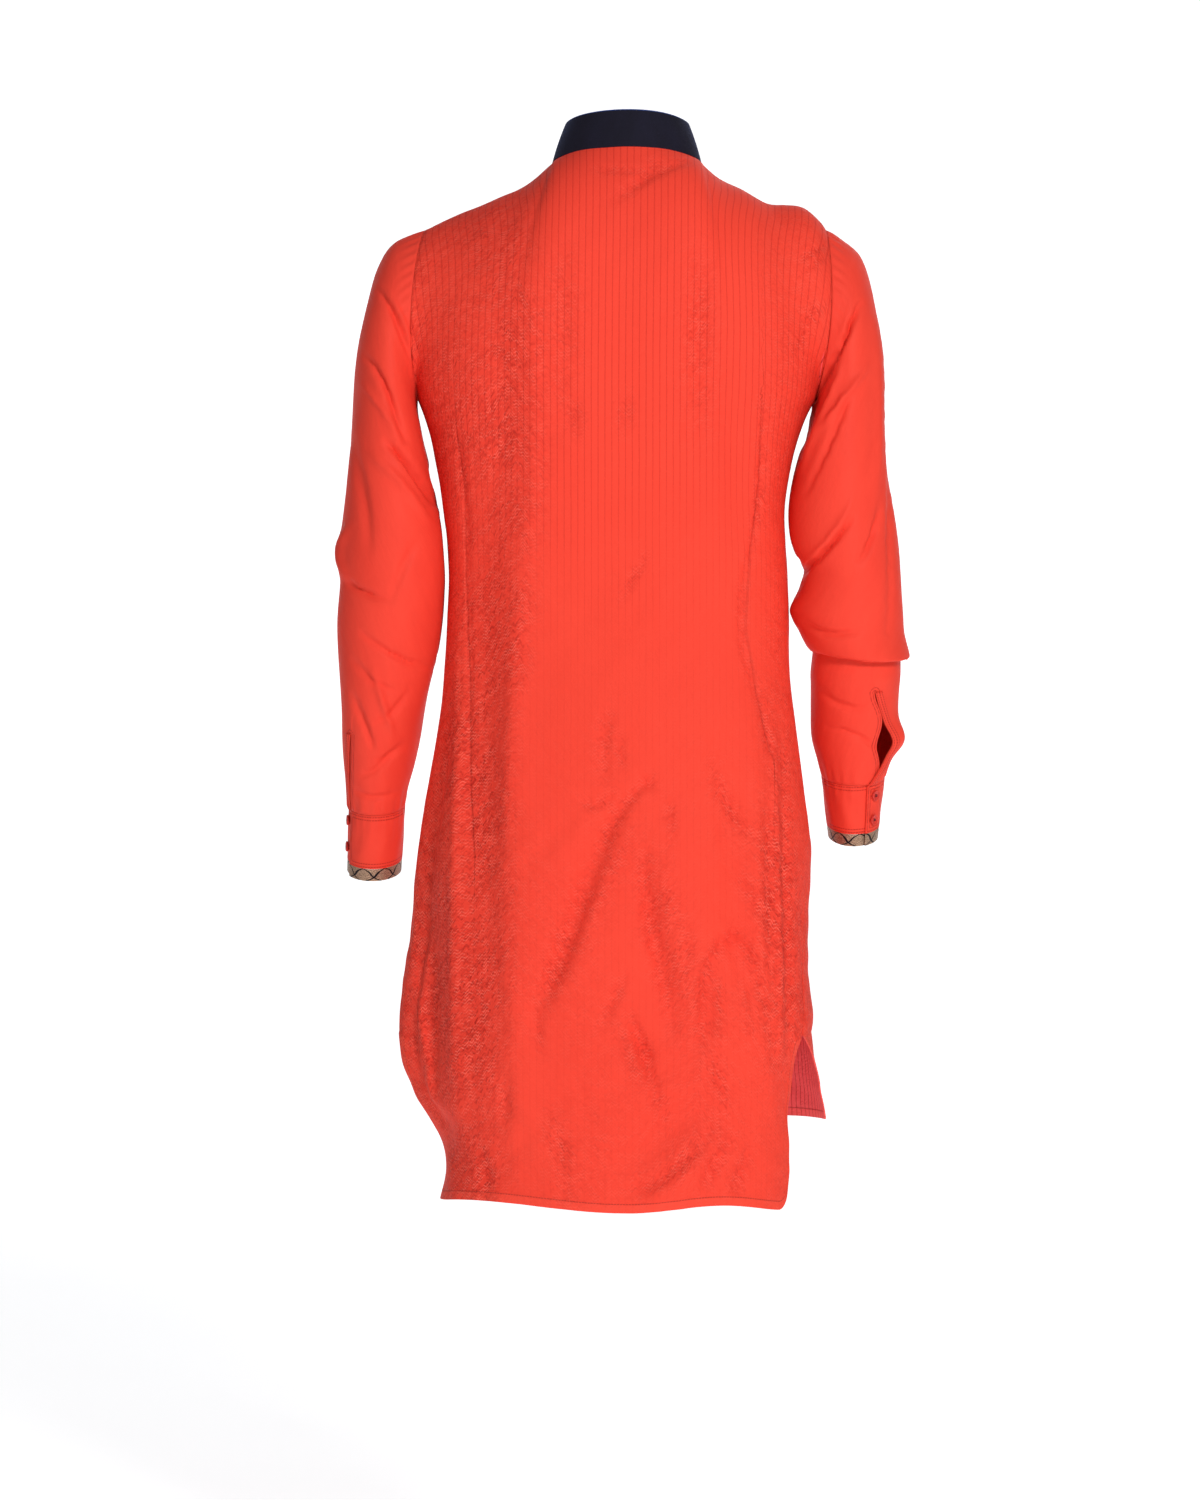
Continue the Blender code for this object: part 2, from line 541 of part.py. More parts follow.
def panel_walls(panel):
    """The outer and the inner points of a panel, with the shared directions along its seams."""
    u, v = panel_grid(panel)
    outer = round_corners(body_point(u, v, panel), panel)
    normal = body_normal(u, v, panel)
    way = 1.0 if panel == "back" else -1.0
    top = np.abs(u[0])
    on_neck = top <= NECK_SHARE + 1e-9
    neck_angle = 90.0 * np.clip(u[0] / NECK_SHARE, -1, 1)
    if panel == "front":
        neck_angle = 180.0 - neck_angle
    for side, sign in (("left", 1.0), ("right", -1.0)):
        share = np.clip((top - NECK_SHARE) / (1 - NECK_SHARE), 0.0, 1.0)
        slope = shoulder_point(side, np.minimum(share + 0.01, 1.0)) - shoulder_point(side, np.maximum(share - 0.01, 0.0))
        upright = unit(points(-slope[:, 2] * sign, 0.0, slope[:, 0] * sign))
        chosen = (sign * u[0] > 0) & ~on_neck
        normal[0, chosen] = upright[chosen]
    normal[0, on_neck] = neck_normal(neck_angle)[on_neck]
    arm_angle = way * 180.0 * (1 + v[: CAP_ROWS + 1, 0])
    normal[: CAP_ROWS + 1, 0] = armhole_normal(arm_angle)
    normal[: CAP_ROWS + 1, -1] = armhole_normal(arm_angle)
    inner = outer - BODY_WALL * normal
    part_seams(outer, inner, on_neck, way)
    return outer, inner, normal


def part_seams(outer, inner, on_neck, way):
    """Draws the panel's shoulder and side edges back by half of the seam gap."""
    outer[0, ~on_neck, 1] += way * SEAM_GAP / 2
    inner[0, ~on_neck, 1] += way * SEAM_GAP / 2
    for edge, neighbour in ((0, 1), (-1, -2)):
        back_off = unit(outer[CAP_ROWS:, neighbour] - outer[CAP_ROWS:, edge]) * SEAM_GAP / 2
        outer[CAP_ROWS:, edge] += back_off
        inner[CAP_ROWS:, edge] += back_off


def new_material(name, colour, roughness, sheen=0.0):
    made = bpy.data.materials.new(name)
    made.use_nodes = True
    shader = made.node_tree.nodes["Principled BSDF"]
    shader.inputs["Base Color"].default_value = colour
    shader.inputs["Roughness"].default_value = roughness
    shader.inputs["Metallic"].default_value = 0.0
    shader.inputs["Sheen Weight"].default_value = sheen
    return made


def add_object(name, shape, collection, material):
    data = bpy.data.meshes.new(name)
    shape.to_mesh(data)
    shape.free()
    data.materials.append(material)
    data.shade_smooth()
    data.set_sharp_from_angle(angle=math.radians(50))
    made = bpy.data.objects.new(name, data)
    collection.objects.link(made)
    return made


def shell(name, outer, inner, cells, closed, collection, material):
    """A cloth wall: two skins over a grid of cells, joined along every free edge. Rows run down, columns across."""
    rows, columns = outer.shape[:2]
    shape = bmesh.new()
    skins = []
    for skin in (outer, inner):
        skins.append([[shape.verts.new(skin[r, c]) for c in range(columns)] for r in range(rows)])
    count = columns if closed else columns - 1

    def present(r, c):
        if closed:
            c %= count
        return 0 <= r < rows - 1 and 0 <= c < count and cells[r, c]

    def corner(skin, r, c):
        return skins[skin][r][c % columns if closed else c]

    for r in range(rows - 1):
        for c in range(count):
            if not present(r, c):
                continue
            square = ((r, c), (r + 1, c), (r + 1, c + 1), (r, c + 1))
            shape.faces.new([corner(0, *place) for place in square])
            shape.faces.new([corner(1, *place) for place in reversed(square)])
            rims = (
                ((r, c), (r, c + 1), present(r - 1, c)),
                ((r, c + 1), (r + 1, c + 1), present(r, c + 1)),
                ((r + 1, c + 1), (r + 1, c), present(r + 1, c)),
                ((r + 1, c), (r, c), present(r, c - 1)),
            )
            for start, end, joined in rims:
                if not joined:
                    shape.faces.new(
                        [corner(0, *start), corner(0, *end), corner(1, *end), corner(1, *start)]
                    )
    for vertex in [v for v in shape.verts if not v.link_faces]:
        shape.verts.remove(vertex)
    bmesh.ops.recalc_face_normals(shape, faces=shape.faces)
    bmesh.ops.triangulate(shape, faces=shape.faces)
    if shape.calc_volume(signed=True) < 0:
        bmesh.ops.reverse_faces(shape, faces=shape.faces)
    return add_object(name, shape, collection, material)


def build_panels(collection, material):
    """The back, and the front with its opening."""
    panels = {}
    for panel in ("back", "front"):
        outer, inner, normal = panel_walls(panel)
        cells = np.ones((outer.shape[0] - 1, outer.shape[1] - 1), bool)
        if panel == "front":
            middle = cells.shape[1] // 2
            cells[:, middle] = -outer[1:, middle, 2] > OPENING_BOTTOM_DROP
        shell(panel + "_panel", outer, inner, cells, False, collection, material)
        panels[panel] = (outer, inner, normal)
    return panels


def front_strip(skin, normal, half_width, offset, drop_end):
    """Points over the front opening: the panel's own points moved off it, from the neck to the given drop."""
    middle = skin.shape[1] // 2
    rows = []
    for r in range(skin.shape[0]):
        row = []
        for start, step in ((middle - 1, -1), (middle - 1, 0), (middle, 0), (middle, 1)):
            far = skin[r, start + step] - skin[r, start]
            share = half_width / np.linalg.norm(far) if step else 0.0
            way = unit(normal[r, start] * (1 - share) + normal[r, start + step] * share)
            row.append(skin[r, start] + far * share + way * offset)
        rows.append(row)
    rows = np.array(rows)
    drops = -rows[:, 1, 2]
    last = int(np.searchsorted(drops, drop_end))
    share = (drop_end - drops[last - 1]) / (drops[last] - drops[last - 1])
    cut = rows[last - 1] + (rows[last] - rows[last - 1]) * share
    return np.concatenate([rows[:last], cut[None]])


def build_placket(panels, collection, material):
    """The upper strip outside the opening and the under strip behind it."""
    outer, inner, normal = panels["front"]
    layers = (
        ("placket_top", outer, TOP_STRIP_HALF_WIDTH, LAYER_GAP + STRIP_WALL, LAYER_GAP, TOP_STRIP_TAIL),
        ("placket_under", inner, UNDER_STRIP_HALF_WIDTH, -LAYER_GAP, -LAYER_GAP - STRIP_WALL, UNDER_STRIP_TAIL),
    )
    for name, skin, half_width, high, low, below in layers:
        top = front_strip(skin, normal, half_width, high, OPENING_BOTTOM_DROP + below)
        bottom = front_strip(skin, normal, half_width, low, OPENING_BOTTOM_DROP + below)
        cells = np.ones((top.shape[0] - 1, 3), bool)
        for strip in (top, bottom):
            strip[0] += (strip[1] - strip[0]) * STRIP_START_SHARE
        shell(name, top, bottom, cells, False, collection, material)


def build_collar(collection, material):
    """A stand collar on the neck edge, open at the front, with rounded front corners."""
    half_turn = 180.0 - COLLAR_OPENING
    step = 90.0 / NECK_COLUMNS
    whole = np.arange(-2 * NECK_COLUMNS + 1, 2 * NECK_COLUMNS) * step
    corners = half_turn - np.array([0.0, COLLAR_CORNER_STEP])
    angle = np.concatenate([-corners, whole, corners[::-1]])
    rise = np.linspace(0.0, 1.0, COLLAR_ROWS + 1)
    angle, rise = np.meshgrid(angle, rise[::-1])
    before = np.floor(angle / step) * step
    share = ((angle - before) / step)[..., None]
    foot = neck_point(before) * (1 - share) + neck_point(before + step) * share
    inward = -unit(points(np.sin(np.radians(angle)), np.cos(np.radians(angle)), 0.0))
    arc = np.radians(half_turn - np.abs(angle)) * NECK_HALF_WIDTH
    inside = np.clip(COLLAR_CORNER - arc, 0.0, COLLAR_CORNER)
    trimmed = COLLAR_CORNER - np.sqrt(COLLAR_CORNER**2 - inside**2)
    height = COLLAR_HEIGHT - trimmed
    lift = SEAM_GAP + rise * height
    lean = COLLAR_LEAN * (rise * 0.75 + rise**2 * 0.25)
    tilt = COLLAR_FRONT_RISE * rise * np.minimum(np.cos(np.radians(angle)), 0.0)
    outer = foot + points(0.0, 0.0, 1.0) * (lift + tilt)[..., None] + inward * lean[..., None]
    face = unit(-inward + points(0.0, 0.0, COLLAR_FACE_LIFT))
    normal = np.where((rise == 0)[..., None], neck_normal(angle), face)
    inner = outer - COLLAR_WALL * normal
    cells = np.ones((angle.shape[0] - 1, angle.shape[1] - 1), bool)
    shell("collar", outer, inner, cells, False, collection, material)


def sleeve_angles(column, row, side):
    """The angle of a column on a ring: a column's number runs from 0 to SLEEVE_SIDES round the sleeve."""
    table = SLEEVE_TABLES[side]
    places = np.arange(len(table["slit"]), dtype=float)
    slit = smooth(row, places, table["slit"])
    turn = smooth(row, places, table["turn"])
    plain = column * 360.0 / SLEEVE_SIDES
    shift = (180.0 / SLEEVE_SIDES - slit) * np.sign(column - SLIT_COLUMN - 0.5)
    near = np.clip(1.5 - np.abs(column - SLIT_COLUMN - 0.5), 0.0, 1.0)
    base = plain - shift * near
    away = (base - SLIT_MIDDLE + 180.0) % 360.0 - 180.0
    return base + turn * np.exp(-((away / TURN_SPREAD) ** 2))


def sleeve_point(angle, row, side):
    """A point of the sleeve on ring number row. The angle runs from the top of the arm over its back."""
    table = SLEEVE_TABLES[side]
    places = np.arange(len(table["slit"]), dtype=float)
    value = {name: smooth(row, places, column) for name, column in table.items()}
    turn = np.radians(angle)
    sign = 1 if side == "left" else -1
    mid_x, mid_drop = (value["out_x"] + value["in_x"]) / 2, (value["out_drop"] + value["in_drop"]) / 2
    half_x, half_drop = (value["out_x"] - value["in_x"]) / 2, (value["in_drop"] - value["out_drop"]) / 2
    start_bulge = ARMHOLE_BULGE * np.clip(1 - row / ARMHOLE_BULGE_ROWS, 0.0, 1.0) ** 2 * np.sin(turn) ** 2
    return points(
        sign * (mid_x + half_x * np.cos(turn) + start_bulge),
        value["middle_y"] + value["half_depth"] * np.sin(turn),
        -(mid_drop - half_drop * np.cos(turn)) - value["back_drop"] * np.sin(turn),
    )


def sleeve_middle(row, side):
    return (sleeve_point(np.zeros_like(row), row, side) + sleeve_point(np.full_like(row, 180.0), row, side)) / 2


def sleeve_face(angle, row, side):
    """The outward direction of the sleeve, square to its rings and to its length."""
    step = 1.0
    along = sleeve_point(angle + step, row, side) - sleeve_point(angle - step, row, side)
    down = sleeve_point(angle, row + 0.5, side) - sleeve_point(angle, np.maximum(row - 0.5, 0.0), side)
    normal = unit(np.cross(along, down))
    outward = sleeve_point(angle, row, side) - sleeve_middle(row, side)
    return np.where(np.sum(normal * outward, axis=-1, keepdims=True) < 0, -normal, normal)


def loose_edge(angle, place):
    """How far the right sleeve's slit edge stands out."""
    away = (angle + 180.0) % 360.0 - 180.0 - LOOSE_EDGE_ANGLE
    below = (-place[..., 2] - LOOSE_EDGE_DROP) / LOOSE_EDGE_REACH
    return LOOSE_EDGE_HEIGHT * np.exp(-((away / LOOSE_EDGE_SPREAD) ** 2) - below**2)


def sleeve_walls(side):
    rows = len(SLEEVE_TABLES[side]["slit"])
    column, row = np.meshgrid(np.arange(SLEEVE_SIDES, dtype=float), np.arange(rows, dtype=float))
    angle = sleeve_angles(column, row, side)
    outer = sleeve_point(angle, row, side)
    normal = sleeve_face(angle, row, side)
    if side == "right":
        outer = outer + normal * loose_edge(angle, outer)[..., None]
    normal[0] = armhole_normal(angle[0])
    inner = outer - SLEEVE_WALL * normal
    for skin in (outer, inner):
        skin[0, :, 0] += (1 if side == "left" else -1) * ARMHOLE_GAP
    return outer, inner, normal


def build_sleeves(collection, material):
    """Both sleeves, each with its slit, and the narrow strip bound along the slit's outer edge."""
    for side in ("left", "right"):
        outer, inner, normal = sleeve_walls(side)
        cells = np.ones((outer.shape[0] - 1, SLEEVE_SIDES), bool)
        top = SLIT_TOP_ROW[side]
        cells[top:, SLIT_COLUMN] = False
        shell("sleeve_" + side, outer, inner, cells, True, collection, material)
        edge = outer[top:, SLIT_COLUMN - 1 : SLIT_COLUMN + 1]
        way = normal[top:, SLIT_COLUMN - 1 : SLIT_COLUMN + 1]
        across = edge[:, 0] - edge[:, 1]
        share = SLIT_STRIP_WIDTH / np.linalg.norm(across, axis=1)[:, None]
        on_edge = np.stack([edge[:, 1] + across * share, edge[:, 1]], axis=1)
        way = unit(np.stack([way[:, 1] * (1 - share) + way[:, 0] * share, way[:, 1]], axis=1))
        on_edge[-1] += (on_edge[-2] - on_edge[-1]) * SLIT_STRIP_END_SHARE
        under = on_edge + way * SLIT_STRIP_LIFTS[side]
        strip = under + way * STRIP_WALL
        whole = np.ones((strip.shape[0] - 1, 1), bool)
        shell("slit_strip_" + side, strip, under, whole, False, collection, material)


def cuff_point(angle, fall, side):
    """A point of the cuff's outer face: fall is 0 at the cuff seam and 1 at the cuff's bottom edge."""
    last = float(len(SLEEVE_TABLES[side]["slit"]) - 1)
    seam = sleeve_point(angle, np.full_like(angle, last), side)
    cuff = dict(zip(CUFF_COLUMNS, CUFFS[side]))
    turn = np.radians(angle)
    sign = 1 if side == "left" else -1
    half_x = (cuff["out_x"] - cuff["in_x"]) / 2
    low = points(
        sign * (cuff["in_x"] + half_x + half_x * np.cos(turn)),
        cuff["middle_y"] + cuff["half_depth"] * np.sin(turn),
        -cuff["drop"] - SLEEVE_TABLES[side]["back_drop"][-1] * np.sin(turn),
    )
    return seam + (low - seam) * fall[..., None]


def cuff_face(angle, fall, side):
    """The outward direction of the cuff."""
    step = np.ones_like(angle)
    along = cuff_point(angle + step, fall, side) - cuff_point(angle - step, fall, side)
    down = cuff_point(angle, np.ones_like(fall), side) - cuff_point(angle, np.zeros_like(fall), side)
    sign = 1 if side == "left" else -1
    normal = unit(np.cross(along, down))
    outward = points(sign * np.cos(np.radians(angle)), np.sin(np.radians(angle)), 0.0)
    return np.where(np.sum(normal * outward, axis=-1, keepdims=True) < 0, -normal, normal)


def tuck_depth(angle, side):
    """How far the band lies inside its own upper end."""
    cuff = dict(zip(CUFF_COLUMNS, CUFFS[side]))
    overlap = cuff["end"] - 360.0 - cuff["start"]
    if cuff["under_end"] == "first":
        along = (angle - cuff["start"] - overlap - TUCK_START) / TUCK_LENGTH
    else:
        along = (cuff["end"] - overlap - TUCK_START - angle) / TUCK_LENGTH
    return (1 - ease(along)) * (CUFF_WALL + TUCK_GAP)


def wrapped(side, fall, wall, extra):
    """A band round the wrist whose under end lies inside its upper end. Outer and inner points."""
    cuff = dict(zip(CUFF_COLUMNS, CUFFS[side]))
    angle, fall = np.meshgrid(np.linspace(cuff["start"], cuff["end"], CUFF_SIDES + 1), fall)
    face = cuff_face(angle, fall, side)
    outer = cuff_point(angle, fall, side) + face * (extra - tuck_depth(angle, side))[..., None]
    outer[..., 2] -= CUFF_SEAM_GAP
    return outer, outer - face * wall


def build_cuffs(collection, silk, brocade, button):
    """Each cuff with overlapping ends, the brocade ribbon below its edge and two buttons."""
    for side in ("left", "right"):
        cuff = dict(zip(CUFF_COLUMNS, CUFFS[side]))
        fall = np.linspace(0.0, 1.0, CUFF_ROWS + 1)
        outer, inner = wrapped(side, fall, CUFF_WALL, 0.0)
        cells = np.ones((CUFF_ROWS, CUFF_SIDES), bool)
        shell("cuff_" + side, outer, inner, cells, False, collection, silk)
        height = cuff["drop"] - SLEEVE_TABLES[side]["out_drop"][-1]
        below = 1 + np.array([SEAM_GAP, SEAM_GAP + TRIM_HEIGHT]) / height
        outer, inner = wrapped(side, below, TRIM_WALL, -TRIM_INSET)
        cells = np.ones((1, CUFF_SIDES), bool)
        shell("cuff_trim_" + side, outer, inner, cells, False, collection, brocade)
        for number, share in enumerate(CUFF_BUTTON_SHARES, 1):
            angle, fall = np.array([cuff["button"]]), np.array([share])
            face = cuff_face(angle, fall, side)[0]
            above = LAYER_GAP + BUTTON_THICKNESS / 2 - tuck_depth(angle, side)[0]
            seat = cuff_point(angle, fall, side)[0] + face * above
            add_button(f"cuff_button_{side}_{number}", seat, face, collection, button)


def add_button(name, seat, face, collection, material):
    """A flat round button with a raised rim, facing the given way."""
    shape = bmesh.new()
    rings = []
    for share, height in BUTTON_PROFILE[1:-1]:
        made = []
        for step in range(BUTTON_SIDES):
            turn = math.tau * step / BUTTON_SIDES
            x, y = share * BUTTON_RADIUS * math.cos(turn), share * BUTTON_RADIUS * math.sin(turn)
            made.append(shape.verts.new((x, y, height * BUTTON_THICKNESS)))
        rings.append(made)
    low = shape.verts.new((0.0, 0.0, BUTTON_PROFILE[0][1] * BUTTON_THICKNESS))
    high = shape.verts.new((0.0, 0.0, BUTTON_PROFILE[-1][1] * BUTTON_THICKNESS))
    for step in range(BUTTON_SIDES):
        after = (step + 1) % BUTTON_SIDES
        shape.faces.new((rings[0][after], rings[0][step], low))
        shape.faces.new((rings[-1][step], rings[-1][after], high))
        for lower, upper in zip(rings, rings[1:]):
            shape.faces.new((lower[step], lower[after], upper[after], upper[step]))
    side_way = unit(np.cross((0.0, 0.0, 1.0), face)) if abs(face[2]) < 0.99 else np.array([1.0, 0.0, 0.0])
    up_way = np.cross(face, side_way)
    for vertex in shape.verts:
        x, y, z = vertex.co
        vertex.co = seat + side_way * x + up_way * y + face * z
    bmesh.ops.triangulate(shape, faces=shape.faces)
    add_object(name, shape, collection, material)


def build_front_buttons(collection, material):
    """Buttons down the upper strip."""
    for number, drop in enumerate(FRONT_BUTTON_DROPS, 1):
        top_v, low_v = (-1.0, 0.0) if drop < ARMPIT_DROP else (0.0, 0.5)
        options = np.linspace(top_v, low_v, BUTTON_SEARCH_STEPS)
        heights = body_point(np.zeros(BUTTON_SEARCH_STEPS), options, "front")[:, 2]
        v = options[np.argmin(np.abs(heights + drop))]
        place = body_point(np.zeros(1), np.array([v]), "front")[0]
        face = body_normal(np.zeros(1), np.array([v]), "front")[0]
        above = LAYER_GAP + STRIP_WALL + SEAM_GAP + BUTTON_THICKNESS / 2
        add_button(f"front_button_{number}", place + face * above, face, collection, material)


def main():
    for old in list(bpy.data.objects):
        bpy.data.objects.remove(old)
    collection = bpy.data.collections.new("kurta_tunic")
    bpy.context.scene.collection.children.link(collection)
    body_silk = new_material("body_silk", SILK_RED, 0.45, 0.2)
    plain_silk = new_material("plain_silk", SILK_RED_PLAIN, 0.36, 0.2)
    velvet = new_material("velvet", VELVET_BLUE, 0.8, 0.6)
    brocade = new_material("brocade", BROCADE_GOLD, 0.5)
    button = new_material("button", BUTTON_RED, 0.35)
    panels = build_panels(collection, body_silk)
    build_placket(panels, collection, body_silk)
    build_collar(collection, velvet)
    build_sleeves(collection, plain_silk)
    build_cuffs(collection, plain_silk, brocade, button)
    build_front_buttons(collection, button)


main()
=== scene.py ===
"""The looks of the kurta tunic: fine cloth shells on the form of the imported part, with creases and stitches.

Metres, +Z up. The front faces -Y and the wearer's left is +X. Heights on the body are given as a drop below
the middle of the neck. The form follows the solids' tables; a few rows at the sleeve slits, the right elbow and
the front hem's corners differ by some millimetres.
"""

import math

import bpy
import numpy as np
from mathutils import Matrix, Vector

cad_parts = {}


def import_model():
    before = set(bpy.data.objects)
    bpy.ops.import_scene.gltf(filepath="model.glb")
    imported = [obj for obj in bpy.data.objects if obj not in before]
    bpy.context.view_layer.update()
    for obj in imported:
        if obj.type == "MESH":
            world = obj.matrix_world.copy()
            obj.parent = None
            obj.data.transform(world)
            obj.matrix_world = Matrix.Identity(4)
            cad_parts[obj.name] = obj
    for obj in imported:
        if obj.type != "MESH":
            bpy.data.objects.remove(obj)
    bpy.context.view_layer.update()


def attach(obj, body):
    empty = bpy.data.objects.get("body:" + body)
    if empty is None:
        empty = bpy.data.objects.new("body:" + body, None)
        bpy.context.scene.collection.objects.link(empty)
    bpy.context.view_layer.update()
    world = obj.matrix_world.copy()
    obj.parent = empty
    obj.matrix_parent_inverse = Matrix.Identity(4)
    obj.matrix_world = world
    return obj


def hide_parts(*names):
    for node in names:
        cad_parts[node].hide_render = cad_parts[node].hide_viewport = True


# Camera and stage
CAMERA_PLACE = (0.026, 4.5, -0.616)
CAMERA_LENS = 102.86
FLOOR_DROP = 1.56
FLOOR_GLOW = 0.62
FLOOR_FRONT = 3.2
FLOOR_BACK = -5.6
FLOOR_HALF_WIDTH = 4.5
FLOOR_STEPS = 13
WALL_BEND = 0.9
WALL_TOP = 3.4
LAMP_TARGET = (0.0, 0.0, -0.55)
WORLD_COLOUR = (0.86, 0.88, 0.92, 1)
WORLD_LIGHT = 0.24

# Each lamp's name, place, size, power and colour
LAMPS = (
    ("key", (-1.5, 3.9, 1.0), 0.8, 124.0, (1.0, 0.99, 0.97)),
    ("fill", (2.4, 3.2, -0.3), 2.4, 12.0, (0.95, 0.97, 1.0)),
    ("top", (0.0, 0.6, 2.4), 1.8, 5.0, (1.0, 1.0, 1.0)),
    ("far", (-0.9, -2.0, 1.4), 2.0, 12.0, (1.0, 1.0, 1.0)),
)

# The left side lies towards +X and the right side towards -X
SIGN = {"left": 1, "right": -1}

# Fine grid of the shells
NECK_FINE = 22
SIDE_FINE = 64
CAP_FINE = 58
SEAM_FINE = 144
TAIL_FINE = 36
FINE_STEPS = 9
FINE_ROWS = 12
BAND_FINE = 200
BUTTON_FINE = 40
SLIT_START = {"left": 14.6, "right": 16.6}
OVERLAP_LIFT = 0.0022
CLOTH = 0.0008
CUFF_CLOTH = 0.0014
STRIP_CLOTH = 0.0009
TRIM_CLOTH = 0.0009
SHARP_CLOTH = 60.0
SHARP_BUTTON = 40.0

# A distance that stands for no seam, slit or hem nearby, and a small step across the front
FAR = 0.05
FRONT_STEP = 0.05

# Cloth detail
SILK_GLOSS = 0.06
NOISE_ROUGHNESS = 0.55
STRIPE_PITCH = 0.0070
HEM_WIDTH = 0.009
HEM_LAYER = 0.0006
STITCH_LENGTH = 0.0030
GATHER_HEIGHT = 0.0011
GATHER_REACH = 0.020
GATHERS = 17
CAP_PUCKERS = 13
CAP_PUCKER_HEIGHT = 0.0007

# Creases seen on the back and on the sleeves: three points as x and drop, half width and height
CREASE_COLUMNS = ("x_0", "drop_0", "x_1", "drop_1", "x_2", "drop_2", "half_width", "height")
CREASE_STEPS = 14
CREASE_REACH = 3.2
BODY_CREASES = {"width": 0.70, "height": 1.45, "ragged": 0.0013}
SLEEVE_CREASES = {"width": 0.58, "height": 1.50, "ragged": 0.0006}
CRINKLE_REACH = 1.3
FINE_CRINKLE_RATE = 1650.0
COARSE_CRINKLE_RATE = 780.0
GLINT_RATE = 1750.0

# The edge of the fold down the left side stands further out
SIDE_EDGE = {"x": 0.155, "shift": 0.007, "foot": 0.010, "top": 0.54, "bottom": 0.98}

# The right shoulder's end is a little fuller than the left one
SHOULDER_SWELL = {"x": -0.212, "drop": 0.074, "reach": 0.026, "height": 0.0065}

# The stitched lines of the back darts, as x and drop
LEFT_DART = ((0.174, 0.287), (0.168, 0.340), (0.166, 0.431), (0.162, 0.560), (0.161, 0.650), (0.157, 0.724))
RIGHT_DART = (
    (-0.141, 0.256), (-0.139, 0.340), (-0.129, 0.414), (-0.124, 0.490), (-0.136, 0.556), (-0.153, 0.627),
)

# The front isn't seen: soft drag lines and folds like those of the back
FRONT_CREASES = (
    (0.120, 0.280, 0.118, 0.560, 0.128, 0.930, 0.0100, 0.0030),
    (0.150, 0.320, 0.148, 0.600, 0.150, 0.900, 0.0130, -0.0030),
    (-0.118, 0.270, -0.128, 0.560, -0.138, 0.930, 0.0100, 0.0030),
    (-0.150, 0.330, -0.158, 0.600, -0.160, 0.880, 0.0120, -0.0028),
    (0.195, 0.160, 0.160, 0.200, 0.110, 0.230, 0.0070, -0.0024),
    (-0.195, 0.160, -0.155, 0.195, -0.105, 0.225, 0.0070, -0.0026),
    (0.190, 0.300, 0.140, 0.350, 0.085, 0.380, 0.0080, -0.0024),
    (-0.170, 0.310, -0.130, 0.360, -0.080, 0.385, 0.0080, -0.0026),
    (0.030, 0.400, 0.045, 0.560, 0.040, 0.760, 0.0090, -0.0030),
    (-0.035, 0.410, -0.050, 0.580, -0.060, 0.800, 0.0100, -0.0032),
    (0.080, 0.560, 0.070, 0.700, 0.085, 0.900, 0.0090, -0.0034),
    (-0.090, 0.540, -0.085, 0.690, -0.100, 0.880, 0.0080, -0.0030),
    (0.005, 0.620, -0.010, 0.760, 0.010, 0.930, 0.0090, -0.0028),
    (0.055, 0.840, 0.030, 0.900, 0.020, 0.980, 0.0080, -0.0030),
    (-0.040, 0.830, -0.020, 0.910, -0.030, 0.985, 0.0080, -0.0026),
    (-0.120, 0.800, -0.135, 0.880, -0.130, 0.960, 0.0070, -0.0026),
    (0.130, 0.790, 0.150, 0.860, 0.160, 0.950, 0.0080, -0.0026),
)

# Sizes that drive the rest
SEAM_GAP = 0.0003
LAYER_GAP = 0.0004
ARMPIT_DROP = 0.248
SLIT_DROP = 0.911
SECTION_POWER = 2.5

# Neck and collar
NECK_CENTRE_X = -0.0022
NECK_HALF_WIDTH = 0.0783
NECK_BACK = 0.075
NECK_FRONT = 0.070
NECK_RISE_BACK = 0.007
NECK_FALL_FRONT = 0.055
COLLAR_WALL = 0.0024
COLLAR_HEIGHT = 0.041
COLLAR_LEAN = 0.0135
COLLAR_OPENING = 3.5
COLLAR_CORNER = 0.014
COLLAR_FRONT_RISE = 0.006
COLLAR_FACE_LIFT = 0.3
COLLAR_EDGE_ROWS = (0.65, 0.35, 0.15, 0.04, 0.0)

# Front opening, its two strips and its buttons
OPENING_HALF_WIDTH = 0.0012
OPENING_BOTTOM_DROP = 0.36
STRIP_WALL = 0.0012
TOP_STRIP_HALF_WIDTH = 0.017
UNDER_STRIP_HALF_WIDTH = 0.014
TOP_STRIP_TAIL = 0.022
UNDER_STRIP_TAIL = 0.012
SLIT_STRIP_WIDTH = 0.010
FRONT_BUTTON_DROPS = (0.085, 0.165, 0.245, 0.325)
BUTTON_RADIUS = 0.0055
BUTTON_THICKNESS = 0.0026
BUTTON_SEARCH_STEPS = 200
THREAD_STEPS = 9
THREAD_SIDES = 8
THREAD_RADIUS = 0.00036

# The outline of a button, as shares of its radius and of half its thickness
BUTTON_ROWS = (
    (0.80, -1.0),
    (0.95, -0.7),
    (1.0, -0.1),
    (0.99, 0.5),
    (0.93, 0.92),
    (0.85, 1.0),
    (0.76, 0.86),
    (0.68, 0.50),
    (0.55, 0.40),
    (0.05, 0.36),
)

